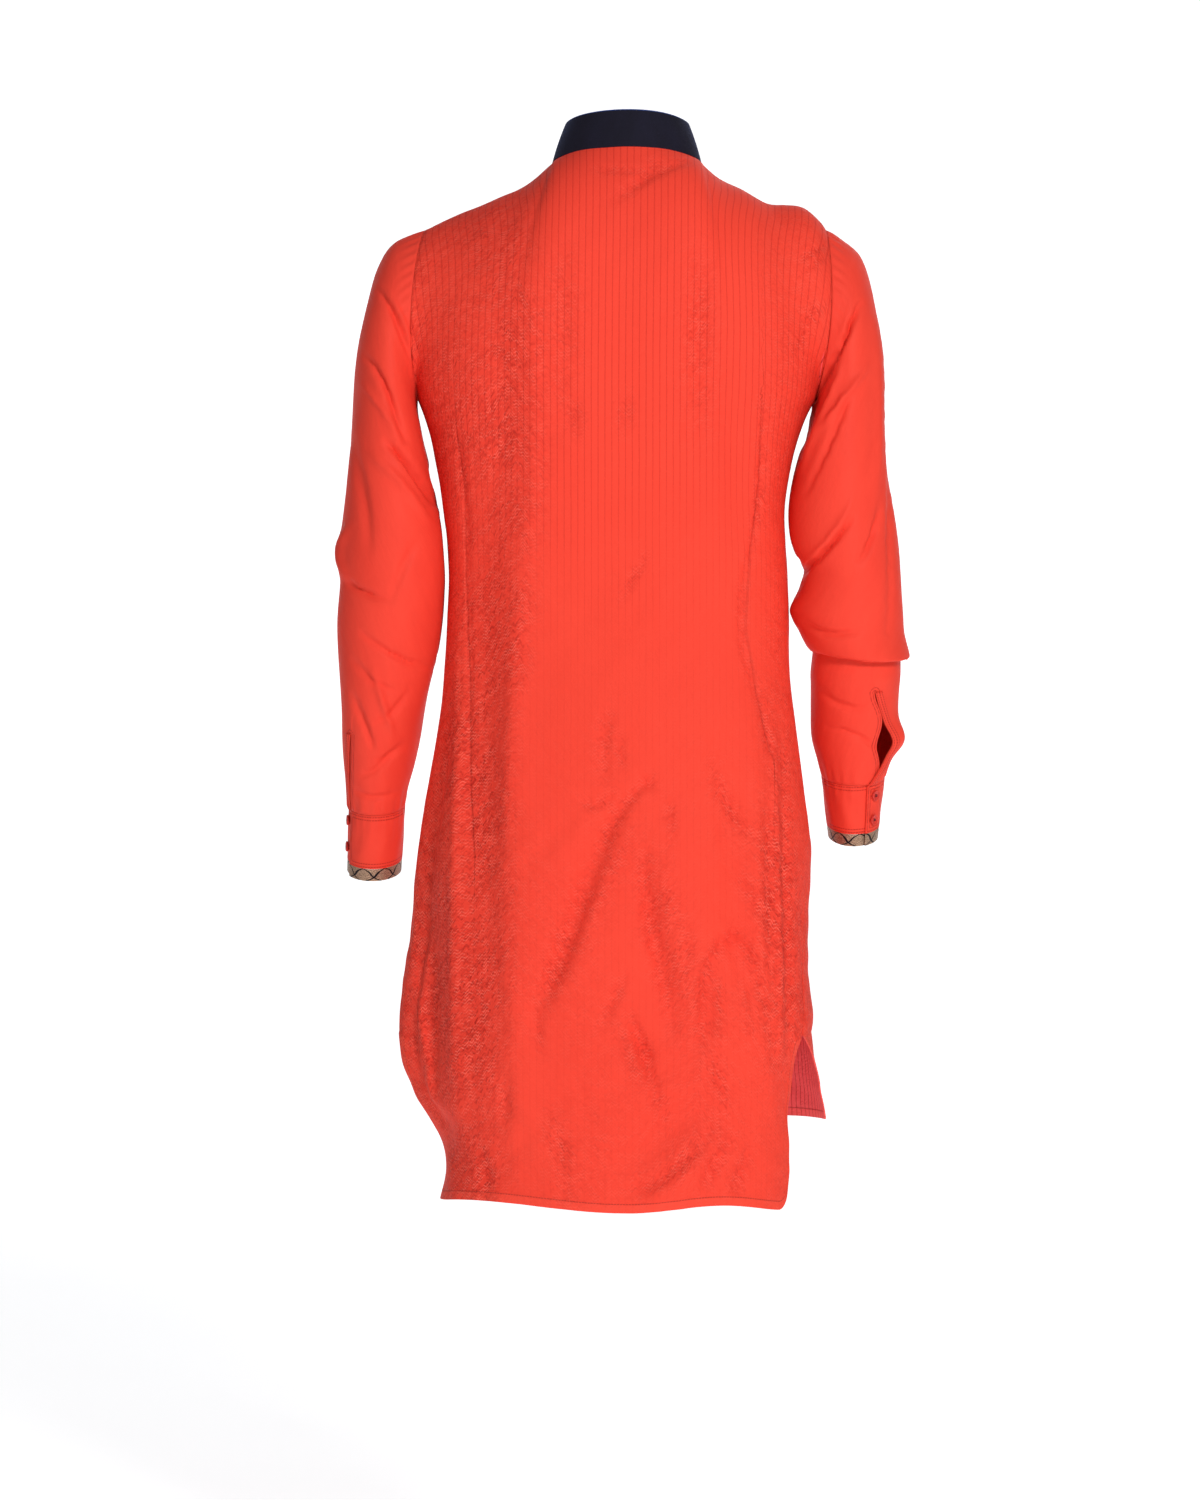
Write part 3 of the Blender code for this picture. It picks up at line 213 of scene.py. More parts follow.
# Directions that the panels' cloth sets out in: up from the armpit line, off the neck, and off the shoulder
LOW_WAYS = {"back": (0.0, 0.08, 1.0), "front": (0.0, -0.02, 1.0)}
NECK_WAYS = {"back": (0.0, -0.6, 0.8), "front": (0.0, 0.45, 0.88)}
SHOULDER_WAYS = {"back": (0.0, -1.3, 0.12), "front": (0.0, 1.3, 0.12)}
ARMHOLE_PULL_POWER = 3

# Grid of the panels: columns from the middle to the neck point, then to the side, and rows
NECK_SHARE = 0.36
SIDE_CROWDING = 1.25
HEM_CORNERS = {"back": {"left": 0.012, "right": 0.028}, "front": {"left": 0.010, "right": 0.010}}
HALF_HEMS = {"back": 0.26, "front": 0.29}
BACK_HEM_DROP = 1.084
BACK_HEM_WAVE = 0.004
BACK_HEM_WAVE_RATE = 6.5
BACK_HEM_TILT = -0.003
FRONT_HEM_DROP = 1.008
FRONT_HEM_BOW = -0.003

# One row for each height on the body: half widths, and depths behind and before the side line
TORSO_COLUMNS = ("drop", "left", "right", "back", "front")
TORSO = (
    (0.248, 0.2175, 0.2000, 0.118, 0.118),
    (0.262, 0.2120, 0.1925, 0.117, 0.118),
    (0.280, 0.2060, 0.1850, 0.116, 0.117),
    (0.300, 0.2010, 0.1785, 0.114, 0.115),
    (0.325, 0.1960, 0.1728, 0.111, 0.113),
    (0.359, 0.1910, 0.1678, 0.107, 0.110),
    (0.396, 0.1865, 0.1685, 0.103, 0.107),
    (0.425, 0.1850, 0.1705, 0.101, 0.105),
    (0.480, 0.1865, 0.1720, 0.101, 0.104),
    (0.535, 0.1890, 0.1730, 0.105, 0.104),
    (0.595, 0.1935, 0.1800, 0.112, 0.106),
    (0.658, 0.1980, 0.1880, 0.119, 0.109),
    (0.721, 0.2000, 0.1955, 0.126, 0.112),
    (0.784, 0.2000, 0.1925, 0.130, 0.116),
    (0.847, 0.2000, 0.1920, 0.132, 0.120),
    (0.911, 0.2000, 0.1955, 0.133, 0.124),
    (0.942, 0.1990, 0.1865, 0.134, 0.126),
    (0.973, 0.1950, 0.1820, 0.134, 0.128),
    (1.005, 0.1890, 0.1795, 0.135, 0.130),
    (1.036, 0.1860, 0.1810, 0.135, 0.131),
    (1.088, 0.1930, 0.1790, 0.136, 0.133),
)

# Where the side edges of each panel lie, in degrees round from the middle of the back
SEAM_COLUMNS = ("drop", "left_back", "right_back", "left_front", "right_front")
SEAMS = (
    (0.248, 90.0, 90.0, 90.0, 90.0),
    (0.595, 90.0, 88.0, 90.0, 88.0),
    (0.784, 90.0, 72.0, 90.0, 72.0),
    (0.911, 90.0, 63.0, 90.0, 63.0),
    (0.935, 90.0, 63.0, 93.0, 76.0),
    (0.966, 90.0, 63.0, 96.0, 90.0),
    (1.006, 90.0, 63.0, 100.0, 96.0),
    (1.088, 90.0, 63.0, 100.0, 96.0),
)

# How far the right of the front stands out beyond the back below the slit
FRONT_SWING_COLUMNS = ("drop", "swing")
FRONT_SWING = ((0.248, 0.0), (0.911, 0.0), (0.942, 0.0115), (0.966, 0.021), (1.006, 0.033), (1.088, 0.033))

# The fold that runs down the left side: a bulge and the valley behind it, by height
SIDE_FOLD_COLUMNS = ("drop", "bulge", "valley")
SIDE_FOLD = (
    (0.248, 0.0, 0.0),
    (0.480, 0.0, 0.0),
    (0.564, 0.0010, 0.001),
    (0.627, 0.0060, 0.006),
    (0.690, 0.0140, 0.011),
    (0.753, 0.0212, 0.015),
    (0.816, 0.0260, 0.018),
    (0.847, 0.0318, 0.019),
    (0.911, 0.0368, 0.020),
    (0.942, 0.0350, 0.019),
    (0.973, 0.0270, 0.014),
    (1.005, 0.0135, 0.006),
    (1.036, 0.0015, 0.000),
    (1.088, 0.0000, 0.000),
)
BULGE_ANGLE = 93.0
BULGE_SPREAD = 11.0
VALLEY_ANGLE = 71.0
VALLEY_SPREAD = 7.0

# Straight troughs (minus) and ridges (plus) of the cloth: ends as x and drop, half width and height
FOLD_COLUMNS = ("x_top", "drop_top", "x_bottom", "drop_bottom", "half_width", "height")
FOLD_END_SHARE = 0.05
FOLD_END_POWER = 0.7
BACK_FOLDS = (
    (0.152, 0.330, 0.140, 0.900, 0.022, -0.0045),
    (0.112, 0.300, 0.110, 1.000, 0.020, 0.0040),
    (-0.110, 0.200, -0.118, 0.400, 0.018, -0.0045),
    (-0.127, 0.560, -0.146, 0.980, 0.015, 0.0060),
    (-0.105, 0.600, -0.118, 0.900, 0.018, -0.0050),
    (0.010, 0.670, 0.082, 0.865, 0.016, -0.0065),
    (-0.020, 0.745, -0.054, 0.905, 0.016, -0.0060),
    (-0.105, 0.800, -0.078, 0.915, 0.013, -0.0050),
    (-0.112, 0.800, -0.135, 0.880, 0.013, -0.0050),
    (-0.005, 0.900, -0.040, 0.955, 0.014, -0.0050),
    (0.000, 1.050, -0.070, 0.975, 0.022, -0.0080),
    (-0.030, 1.075, -0.095, 1.005, 0.020, 0.0050),
)
FRONT_FOLDS = (
    (0.095, 0.320, 0.120, 0.950, 0.022, -0.0060),
    (0.040, 0.520, 0.060, 0.990, 0.020, 0.0050),
    (-0.085, 0.300, -0.110, 0.930, 0.020, -0.0060),
    (-0.030, 0.560, -0.045, 0.990, 0.022, 0.0050),
    (-0.140, 0.560, -0.160, 0.980, 0.018, 0.0060),
    (0.000, 0.640, 0.005, 0.960, 0.020, -0.0050),
)

# The shoulder line as seen from behind: distance from the middle and drop
SHOULDER_COLUMNS = ("left_x", "left_drop", "right_x", "right_drop")
SHOULDERS = (
    (0.0761, 0.0000, 0.0805, 0.0000),
    (0.0998, 0.0205, 0.0950, 0.0130),
    (0.1300, 0.0360, 0.1240, 0.0280),
    (0.1540, 0.0465, 0.1520, 0.0430),
    (0.1700, 0.0525, 0.1680, 0.0445),
    (0.1900, 0.0610, 0.1890, 0.0500),
    (0.2100, 0.0710, 0.2110, 0.0770),
)

# The armhole, an upright loop at each side
ARMHOLE_GAP = 0.00036
ARMHOLE_BULGE = 0.0075
ARMHOLE_BULGE_ROWS = 3.0

# One row for each ring of a sleeve, from the armhole to the cuff seam: outer and inner point (x and drop),
# half depth, forward or backward place of the middle, how much lower the back is, and the turn of the seam
SLEEVE_COLUMNS = ("out_x", "out_drop", "in_x", "in_drop", "half_depth", "middle_y", "back_drop", "turn", "slit")
LEFT_SLEEVE = (
    (0.2100, 0.071, 0.2175, 0.248, 0.065, 0.000, 0.000, 0.0, 9.0),
    (0.2400, 0.084, 0.2174, 0.257, 0.067, 0.000, 0.000, 0.0, 9.0),
    (0.2570, 0.108, 0.2162, 0.266, 0.070, 0.000, 0.000, 0.0, 9.0),
    (0.2680, 0.140, 0.2130, 0.279, 0.073, 0.002, 0.000, 0.0, 9.0),
    (0.2770, 0.180, 0.2085, 0.298, 0.074, 0.004, 0.000, 0.0, 9.0),
    (0.2820, 0.215, 0.2035, 0.319, 0.074, 0.005, 0.002, 0.0, 9.0),
    (0.2855, 0.256, 0.1995, 0.340, 0.073, 0.007, 0.003, 0.0, 9.0),
    (0.2890, 0.300, 0.1955, 0.365, 0.072, 0.008, 0.004, 0.0, 9.0),
    (0.2925, 0.350, 0.1915, 0.390, 0.071, 0.009, 0.005, 0.0, 9.0),
    (0.2990, 0.405, 0.1882, 0.430, 0.069, 0.007, 0.007, 0.0, 9.0),
    (0.2985, 0.440, 0.1895, 0.455, 0.068, 0.004, 0.008, 0.0, 9.0),
    (0.3005, 0.478, 0.1925, 0.483, 0.067, 0.000, 0.009, 0.0, 9.0),
    (0.3003, 0.512, 0.1970, 0.512, 0.065, -0.005, 0.010, 0.0, 9.0),
    (0.2995, 0.545, 0.2045, 0.545, 0.062, -0.011, 0.011, -8.0, 9.0),
    (0.2980, 0.575, 0.2105, 0.575, 0.059, -0.018, 0.011, -16.0, 1.0),
    (0.2975, 0.604, 0.2160, 0.604, 0.055, -0.026, 0.011, -20.0, 1.4),
    (0.2965, 0.632, 0.2225, 0.632, 0.050, -0.034, 0.011, -24.0, 2.2),
    (0.2950, 0.656, 0.2290, 0.656, 0.046, -0.040, 0.011, -28.0, 1.0),
    (0.2930, 0.674, 0.2325, 0.674, 0.043, -0.044, 0.011, -30.0, 1.0),
)
RIGHT_SLEEVE = (
    (0.2110, 0.077, 0.2000, 0.248, 0.065, 0.000, 0.000, 0.0, 9.0),
    (0.2380, 0.091, 0.2000, 0.2565, 0.067, 0.000, 0.000, 0.0, 9.0),
    (0.2500, 0.107, 0.1980, 0.266, 0.070, 0.000, 0.000, 0.0, 9.0),
    (0.2600, 0.139, 0.1940, 0.278, 0.073, 0.002, 0.000, 0.0, 9.0),
    (0.2680, 0.180, 0.1885, 0.293, 0.074, 0.004, 0.000, 0.0, 9.0),
    (0.2725, 0.220, 0.1812, 0.310, 0.074, 0.006, 0.002, 0.0, 9.0),
    (0.2755, 0.270, 0.1752, 0.335, 0.073, 0.008, 0.003, 0.0, 9.0),
    (0.2785, 0.325, 0.1718, 0.364, 0.071, 0.009, 0.004, 0.0, 9.0),
    (0.2830, 0.372, 0.1728, 0.390, 0.070, 0.009, 0.005, 0.0, 9.0),
    (0.2875, 0.406, 0.1775, 0.408, 0.069, 0.008, 0.006, 0.0, 9.0),
    (0.2895, 0.430, 0.1868, 0.427, 0.068, 0.006, 0.007, 0.0, 9.0),
    (0.2903, 0.450, 0.1835, 0.446, 0.069, 0.003, 0.008, 2.0, 9.0),
    (0.2912, 0.472, 0.1765, 0.468, 0.071, 0.000, 0.009, 5.0, 9.0),
    (0.2925, 0.493, 0.1845, 0.491, 0.071, -0.003, 0.010, 9.0, 9.0),
    (0.2985, 0.517, 0.1940, 0.508, 0.070, -0.007, 0.011, 13.0, 9.0),
    (0.2905, 0.507, 0.1990, 0.501, 0.060, -0.009, 0.011, 14.0, 9.0),
    (0.2905, 0.534, 0.1955, 0.534, 0.060, -0.013, 0.011, 9.0, 0.8),
    (0.2890, 0.553, 0.1962, 0.553, 0.057, -0.018, 0.011, 3.0, 0.8),
    (0.2875, 0.576, 0.1968, 0.576, 0.054, -0.024, 0.011, -9.0, 1.2),
    (0.2860, 0.602, 0.1978, 0.602, 0.050, -0.030, 0.011, -15.0, 12.0),
    (0.2810, 0.624, 0.2030, 0.624, 0.046, -0.036, 0.011, -15.0, 1.0),
    (0.2755, 0.6425, 0.2085, 0.6425, 0.043, -0.041, 0.011, -8.0, -11.0),
)
SLEEVE_SIDES = 20
SLIT_COLUMN = 3
SLIT_MIDDLE = 63.0
TURN_SPREAD = 60.0
RIGHT_SLIT_TOP_ROW = 17

# The loose edge of the right slit stands out from the arm
LOOSE_EDGE_ANGLE = 18.0
LOOSE_EDGE_SPREAD = 20.0
LOOSE_EDGE_DROP = 0.603
LOOSE_EDGE_REACH = 0.017
LOOSE_EDGE_HEIGHT = 0.0105

# Cuffs: the bottom edge, the angles where the band starts and ends, which end lies under, and the buttons
CUFF_COLUMNS = ("out_x", "in_x", "drop", "half_depth", "middle_y", "start", "end", "under_end", "button")
CUFFS = {
    "left": (0.2952, 0.2360, 0.7300, 0.0425, -0.053, 31.0, 422.0, "last", 371.0),
    "right": (0.2705, 0.2145, 0.6935, 0.0425, -0.050, 33.0, 427.0, "first", 410.0),
}
TUCK_LENGTH = 45.0
TUCK_START = 4.0
TUCK_GAP = 0.00064
CUFF_WALL = 0.0016
CUFF_SEAM_GAP = 0.00045
TRIM_HEIGHT = 0.0125
TRIM_INSET = 0.0002
CUFF_BUTTON_SHARES = (0.25, 0.75)


BACK_CREASES = (
    # Ridge where the back turns to the side
    (0.100, 0.140, 0.094, 0.283, 0.104, 0.430, 0.0110, 0.0018),
    (0.107, 0.420, 0.118, 0.600, 0.124, 0.760, 0.0110, 0.0018),
    (0.123, 0.730, 0.121, 0.850, 0.112, 0.950, 0.0140, 0.0012),
    (0.130, 0.176, 0.126, 0.283, 0.138, 0.430, 0.0200, -0.0018),
    (0.140, 0.420, 0.147, 0.600, 0.151, 0.760, 0.0200, -0.0016),
    # Under the collar
    (-0.071, 0.006, -0.031, 0.023, 0.014, 0.054, 0.0060, -0.0022),
    (0.035, 0.018, 0.000, 0.020, -0.036, 0.016, 0.0040, -0.0010),
    (-0.040, 0.011, -0.025, 0.019, -0.015, 0.037, 0.0070, -0.0018),
    # At the right armhole
    (-0.210, 0.092, -0.196, 0.100, -0.177, 0.112, 0.0040, -0.0016),
    (-0.210, 0.104, -0.197, 0.112, -0.184, 0.126, 0.0040, -0.0013),
    (-0.207, 0.151, -0.193, 0.170, -0.180, 0.203, 0.0060, -0.0014),
    # Upper back
    (-0.078, 0.104, -0.075, 0.196, -0.079, 0.294, 0.0130, -0.0036),
    (0.052, 0.256, 0.053, 0.276, 0.051, 0.299, 0.0080, -0.0018),
    (0.001, 0.253, -0.000, 0.268, 0.001, 0.287, 0.0080, -0.0014),
    (-0.020, 0.415, -0.009, 0.438, 0.006, 0.465, 0.0040, -0.0014),
    (0.067, 0.104, 0.061, 0.186, 0.066, 0.278, 0.0130, -0.0015),
    # Left dart
    (0.174, 0.287, 0.166, 0.359, 0.164, 0.431, 0.0050, -0.0018),
    (0.164, 0.421, 0.161, 0.555, 0.163, 0.658, 0.0050, -0.0018),
    (0.163, 0.637, 0.162, 0.678, 0.157, 0.724, 0.0050, -0.0018),
    (0.146, 0.639, 0.154, 0.647, 0.161, 0.660, 0.0040, -0.0014),
    (0.143, 0.668, 0.151, 0.678, 0.160, 0.690, 0.0040, -0.0014),
    (0.145, 0.697, 0.151, 0.707, 0.157, 0.719, 0.0040, -0.0012),
    # Right dart and its ridge
    (-0.141, 0.256, -0.140, 0.339, -0.129, 0.417, 0.0050, -0.0022),
    (-0.129, 0.411, -0.120, 0.491, -0.137, 0.559, 0.0050, -0.0022),
    (-0.135, 0.553, -0.145, 0.594, -0.153, 0.627, 0.0050, -0.0018),
    (-0.153, 0.591, -0.157, 0.771, -0.161, 0.935, 0.0045, 0.0030),
    (-0.164, 0.601, -0.167, 0.771, -0.170, 0.925, 0.0060, -0.0030),
    (-0.147, 0.668, -0.147, 0.771, -0.151, 0.884, 0.0080, -0.0018),
    # Knot of creases below the waist
    (-0.015, 0.643, -0.021, 0.650, -0.027, 0.655, 0.0080, -0.0034),
    (-0.019, 0.651, 0.008, 0.683, 0.032, 0.737, 0.0060, -0.0034),
    (0.032, 0.733, 0.061, 0.816, 0.096, 0.900, 0.0100, -0.0038),
    (-0.004, 0.698, 0.026, 0.759, 0.049, 0.831, 0.0100, 0.0020),
    (0.018, 0.576, 0.022, 0.608, 0.020, 0.643, 0.0080, -0.0028),
    (-0.021, 0.716, -0.025, 0.785, -0.057, 0.921, 0.0080, -0.0032),
    (-0.039, 0.729, -0.047, 0.800, -0.076, 0.903, 0.0100, 0.0018),
    # Second knot and the creases under it
    (-0.110, 0.798, -0.110, 0.807, -0.109, 0.818, 0.0070, -0.0028),
    (-0.109, 0.811, -0.084, 0.843, -0.079, 0.921, 0.0070, -0.0032),
    (-0.111, 0.811, -0.133, 0.841, -0.153, 0.931, 0.0070, -0.0030),
    (-0.088, 0.625, -0.109, 0.680, -0.134, 0.704, 0.0070, -0.0026),
    (-0.112, 0.742, -0.129, 0.767, -0.143, 0.792, 0.0060, -0.0024),
    (-0.059, 0.788, -0.063, 0.811, -0.064, 0.833, 0.0060, -0.0018),
    # Lower back
    (-0.001, 0.880, -0.019, 0.925, -0.031, 0.965, 0.0060, -0.0042),
    (0.011, 0.882, -0.004, 0.923, -0.017, 0.963, 0.0060, 0.0016),
    (-0.030, 0.961, -0.036, 0.980, -0.041, 0.998, 0.0070, -0.0024),
    (0.024, 0.900, 0.014, 0.874, -0.000, 0.844, 0.0060, -0.0026),
    (0.001, 1.066, -0.051, 1.043, -0.092, 0.998, 0.0100, -0.0040),
    (0.122, 0.957, 0.124, 0.978, 0.122, 1.000, 0.0080, -0.0024),
    (-0.080, 1.063, -0.091, 1.040, -0.113, 1.008, 0.0070, -0.0030),
    (-0.112, 1.072, -0.119, 1.045, -0.133, 1.017, 0.0070, -0.0026),
    (0.079, 0.984, 0.067, 1.025, 0.061, 1.071, 0.0100, -0.0020),
    (0.149, 1.025, 0.143, 1.050, 0.145, 1.081, 0.0080, -0.0016),
    # Left side
    (0.216, 0.876, 0.205, 0.940, 0.199, 0.984, 0.0050, 0.0026),
    (0.226, 0.777, 0.222, 0.834, 0.217, 0.886, 0.0080, 0.0018),
    (0.172, 0.470, 0.176, 0.668, 0.178, 0.880, 0.0070, 0.0016),
    (0.101, 0.840, 0.092, 0.880, 0.088, 0.930, 0.0050, -0.0020),
    (-0.088, 0.930, -0.098, 0.960, -0.101, 0.990, 0.0050, -0.0022),
    (-0.118, 0.850, -0.124, 0.880, -0.131, 0.915, 0.0045, 0.0020),
    (-0.096, 0.850, -0.094, 0.885, -0.097, 0.915, 0.0045, 0.0020),
    (0.010, 0.660, 0.028, 0.672, 0.046, 0.668, 0.0045, -0.0024),
    (-0.040, 0.660, -0.046, 0.690, -0.045, 0.715, 0.0045, -0.0022),
    (0.000, 0.640, 0.006, 0.620, 0.005, 0.600, 0.0045, -0.0020),
)
LEFT_CREASES = (
    # Left sleeve
    (0.257, 0.138, 0.238, 0.169, 0.222, 0.210, 0.0050, -0.0032),
    (0.245, 0.142, 0.231, 0.169, 0.221, 0.198, 0.0050, 0.0018),
    (0.269, 0.208, 0.247, 0.243, 0.227, 0.297, 0.0060, -0.0044),
    (0.275, 0.237, 0.252, 0.262, 0.233, 0.301, 0.0060, 0.0022),
    (0.246, 0.299, 0.221, 0.324, 0.198, 0.359, 0.0070, -0.0068),
    (0.262, 0.311, 0.233, 0.339, 0.204, 0.378, 0.0080, 0.0030),
    (0.289, 0.386, 0.298, 0.409, 0.290, 0.437, 0.0080, 0.0040),
    (0.288, 0.440, 0.273, 0.452, 0.244, 0.461, 0.0060, -0.0034),
    (0.273, 0.496, 0.240, 0.518, 0.204, 0.529, 0.0060, -0.0036),
    (0.283, 0.295, 0.271, 0.357, 0.265, 0.407, 0.0100, -0.0026),
    (0.213, 0.399, 0.229, 0.426, 0.242, 0.461, 0.0070, -0.0022),
    (0.283, 0.523, 0.260, 0.546, 0.236, 0.556, 0.0060, -0.0026),
    (0.225, 0.554, 0.242, 0.577, 0.262, 0.589, 0.0060, -0.0024),
    (0.283, 0.560, 0.271, 0.590, 0.263, 0.615, 0.0060, -0.0032),
    (0.262, 0.535, 0.250, 0.572, 0.242, 0.600, 0.0060, 0.0028),
    (0.276, 0.642, 0.257, 0.634, 0.238, 0.616, 0.0050, -0.0028),
    (0.282, 0.658, 0.262, 0.666, 0.240, 0.660, 0.0050, -0.0024),
    (0.229, 0.608, 0.246, 0.623, 0.265, 0.629, 0.0060, -0.0020),
)
RIGHT_CREASES = (
    # Right sleeve
    (-0.244, 0.153, -0.220, 0.202, -0.195, 0.251, 0.0055, -0.0066),
    (-0.196, 0.246, -0.187, 0.268, -0.170, 0.297, 0.0055, -0.0056),
    (-0.249, 0.221, -0.227, 0.252, -0.202, 0.287, 0.0060, 0.0034),
    (-0.223, 0.221, -0.204, 0.272, -0.181, 0.328, 0.0060, 0.0030),
    (-0.233, 0.243, -0.214, 0.291, -0.187, 0.349, 0.0060, -0.0030),
    (-0.181, 0.435, -0.208, 0.409, -0.234, 0.377, 0.0050, -0.0050),
    (-0.189, 0.420, -0.214, 0.393, -0.235, 0.357, 0.0060, 0.0024),
    (-0.265, 0.366, -0.257, 0.395, -0.242, 0.422, 0.0060, -0.0040),
    (-0.175, 0.455, -0.173, 0.471, -0.178, 0.488, 0.0090, 0.0040),
    (-0.272, 0.158, -0.278, 0.306, -0.273, 0.494, 0.0070, -0.0030),
    (-0.260, 0.171, -0.264, 0.274, -0.258, 0.357, 0.0090, 0.0020),
    (-0.187, 0.484, -0.212, 0.496, -0.245, 0.492, 0.0060, -0.0028),
    (-0.211, 0.593, -0.243, 0.601, -0.262, 0.616, 0.0040, -0.0024),
    (-0.206, 0.556, -0.229, 0.571, -0.251, 0.571, 0.0060, -0.0022),
)


def named(columns, rows):
    """The rows of a table as one array for each named column."""
    return dict(zip(columns, np.array(rows, float).T))


def arc(start, start_way, end, end_way, t):
    """A curve from start to end that sets out and arrives along the given ways."""
    return (
        start * (1 + 2 * t) * (1 - t) ** 2
        + start_way * t * (1 - t) ** 2
        + end * t * t * (3 - 2 * t)
        + end_way * t * t * (t - 1)
    )


def smooth(at, places, values):
    """A smooth curve through the values at the given rising places, read at other places."""
    slopes = np.gradient(values, places)
    at = np.clip(at, places[0], places[-1])
    row = np.clip(np.searchsorted(places, at) - 1, 0, len(places) - 2)
    step = places[row + 1] - places[row]
    t = (at - places[row]) / step
    return arc(values[row], slopes[row] * step, values[row + 1], slopes[row + 1] * step, t)


def ease(t):
    t = np.clip(t, 0.0, 1.0)
    return t * t * (3 - 2 * t)


def unit(vectors):
    return vectors / np.maximum(np.linalg.norm(vectors, axis=-1, keepdims=True), 1e-12)


def pointing(normal, outward):
    """The normals, turned round wherever they look away from the given directions."""
    return np.where(np.sum(normal * outward, axis=-1, keepdims=True) < 0, -normal, normal)


def points(x, y, z):
    return np.stack(np.broadcast_arrays(x, y, z), axis=-1)


TORSO_TABLE = named(TORSO_COLUMNS, TORSO)
SEAM_TABLE = named(SEAM_COLUMNS, SEAMS)
SWING_TABLE = named(FRONT_SWING_COLUMNS, FRONT_SWING)
SIDE_FOLD_TABLE = named(SIDE_FOLD_COLUMNS, SIDE_FOLD)
SHOULDER_TABLE = named(SHOULDER_COLUMNS, SHOULDERS)
SLEEVE_TABLES = {"left": named(SLEEVE_COLUMNS, LEFT_SLEEVE), "right": named(SLEEVE_COLUMNS, RIGHT_SLEEVE)}
CUFF_TABLES = {side: dict(zip(CUFF_COLUMNS, row)) for side, row in CUFFS.items()}


def torso(name, drop):
    return smooth(drop, TORSO_TABLE["drop"], TORSO_TABLE[name])


def ring(angle, drop, panel):
    """A point of the body's section. The angle is in degrees from the middle of the back, + to the left."""
    turn = np.radians(angle)
    across, along = np.sin(turn), np.cos(turn)
    round_off = (np.abs(across) ** SECTION_POWER + np.abs(along) ** SECTION_POWER) ** (-1 / SECTION_POWER)
    right = torso("right", drop)
    if panel == "front":
        right = right + np.interp(drop, SWING_TABLE["drop"], SWING_TABLE["swing"])
    half_width = np.where(across > 0, torso("left", drop), right)
    depth = np.where(along > 0, torso("back", drop), torso("front", drop))
    return points(half_width * across * round_off, depth * along * round_off, -drop)


def side_fold(angle, drop):
    """How far the fold down the left side stands out from the body's plain section."""
    bulge = smooth(drop, SIDE_FOLD_TABLE["drop"], SIDE_FOLD_TABLE["bulge"])
    valley = smooth(drop, SIDE_FOLD_TABLE["drop"], SIDE_FOLD_TABLE["valley"])
    return bulge * np.exp(-(((angle - BULGE_ANGLE) / BULGE_SPREAD) ** 2) / 2) - valley * np.exp(
        -(((angle - VALLEY_ANGLE) / VALLEY_SPREAD) ** 2) / 2
    )


def straight_folds(place, folds):
    """The height of the troughs and ridges at places given by x and drop."""
    x, drop = place[..., 0], -place[..., 2]
    height = np.zeros_like(x)
    for row in folds:
        fold = dict(zip(FOLD_COLUMNS, row))
        run = np.array([fold["x_bottom"] - fold["x_top"], fold["drop_bottom"] - fold["drop_top"]])
        share = ((x - fold["x_top"]) * run[0] + (drop - fold["drop_top"]) * run[1]) / run.dot(run)
        held = np.clip(share, 0.0, 1.0)
        away = np.hypot(x - fold["x_top"] - held * run[0], drop - fold["drop_top"] - held * run[1])
        inside = np.clip(share * (1 - 2 * FOLD_END_SHARE) + FOLD_END_SHARE, 0.0, 1.0)
        fade = np.sin(math.pi * inside) ** FOLD_END_POWER
        height += fold["height"] * fade * np.exp(-((away / fold["half_width"]) ** 2))
    return height


def neck_point(angle):
    """The neck edge. The angle is in degrees from the middle of the back, + to the left."""
    turn = np.radians(angle)
    depth = np.where(np.cos(turn) > 0, NECK_BACK, NECK_FRONT)
    back, front = np.clip(np.cos(turn), 0, 1), np.clip(-np.cos(turn), 0, 1)
    return points(
        NECK_CENTRE_X + NECK_HALF_WIDTH * np.sin(turn),
        depth * np.cos(turn),
        NECK_RISE_BACK * back**1.5 - NECK_FALL_FRONT * front**1.3,
    )


def shoulder_point(side, share):
    """A point of the shoulder seam, from 0 at the neck to 1 at the armhole."""
    x, drop = SHOULDER_TABLE[side + "_x"], SHOULDER_TABLE[side + "_drop"]
    out = x[0] + (x[-1] - x[0]) * share
    return points(SIGN[side] * out, 0.0, -smooth(out, x, drop))


def armhole_point(side, angle):
    """The armhole loop. The angle is in degrees from the shoulder, over the back to the armpit at 180."""
    return sleeve_point(angle, np.zeros_like(angle), side)


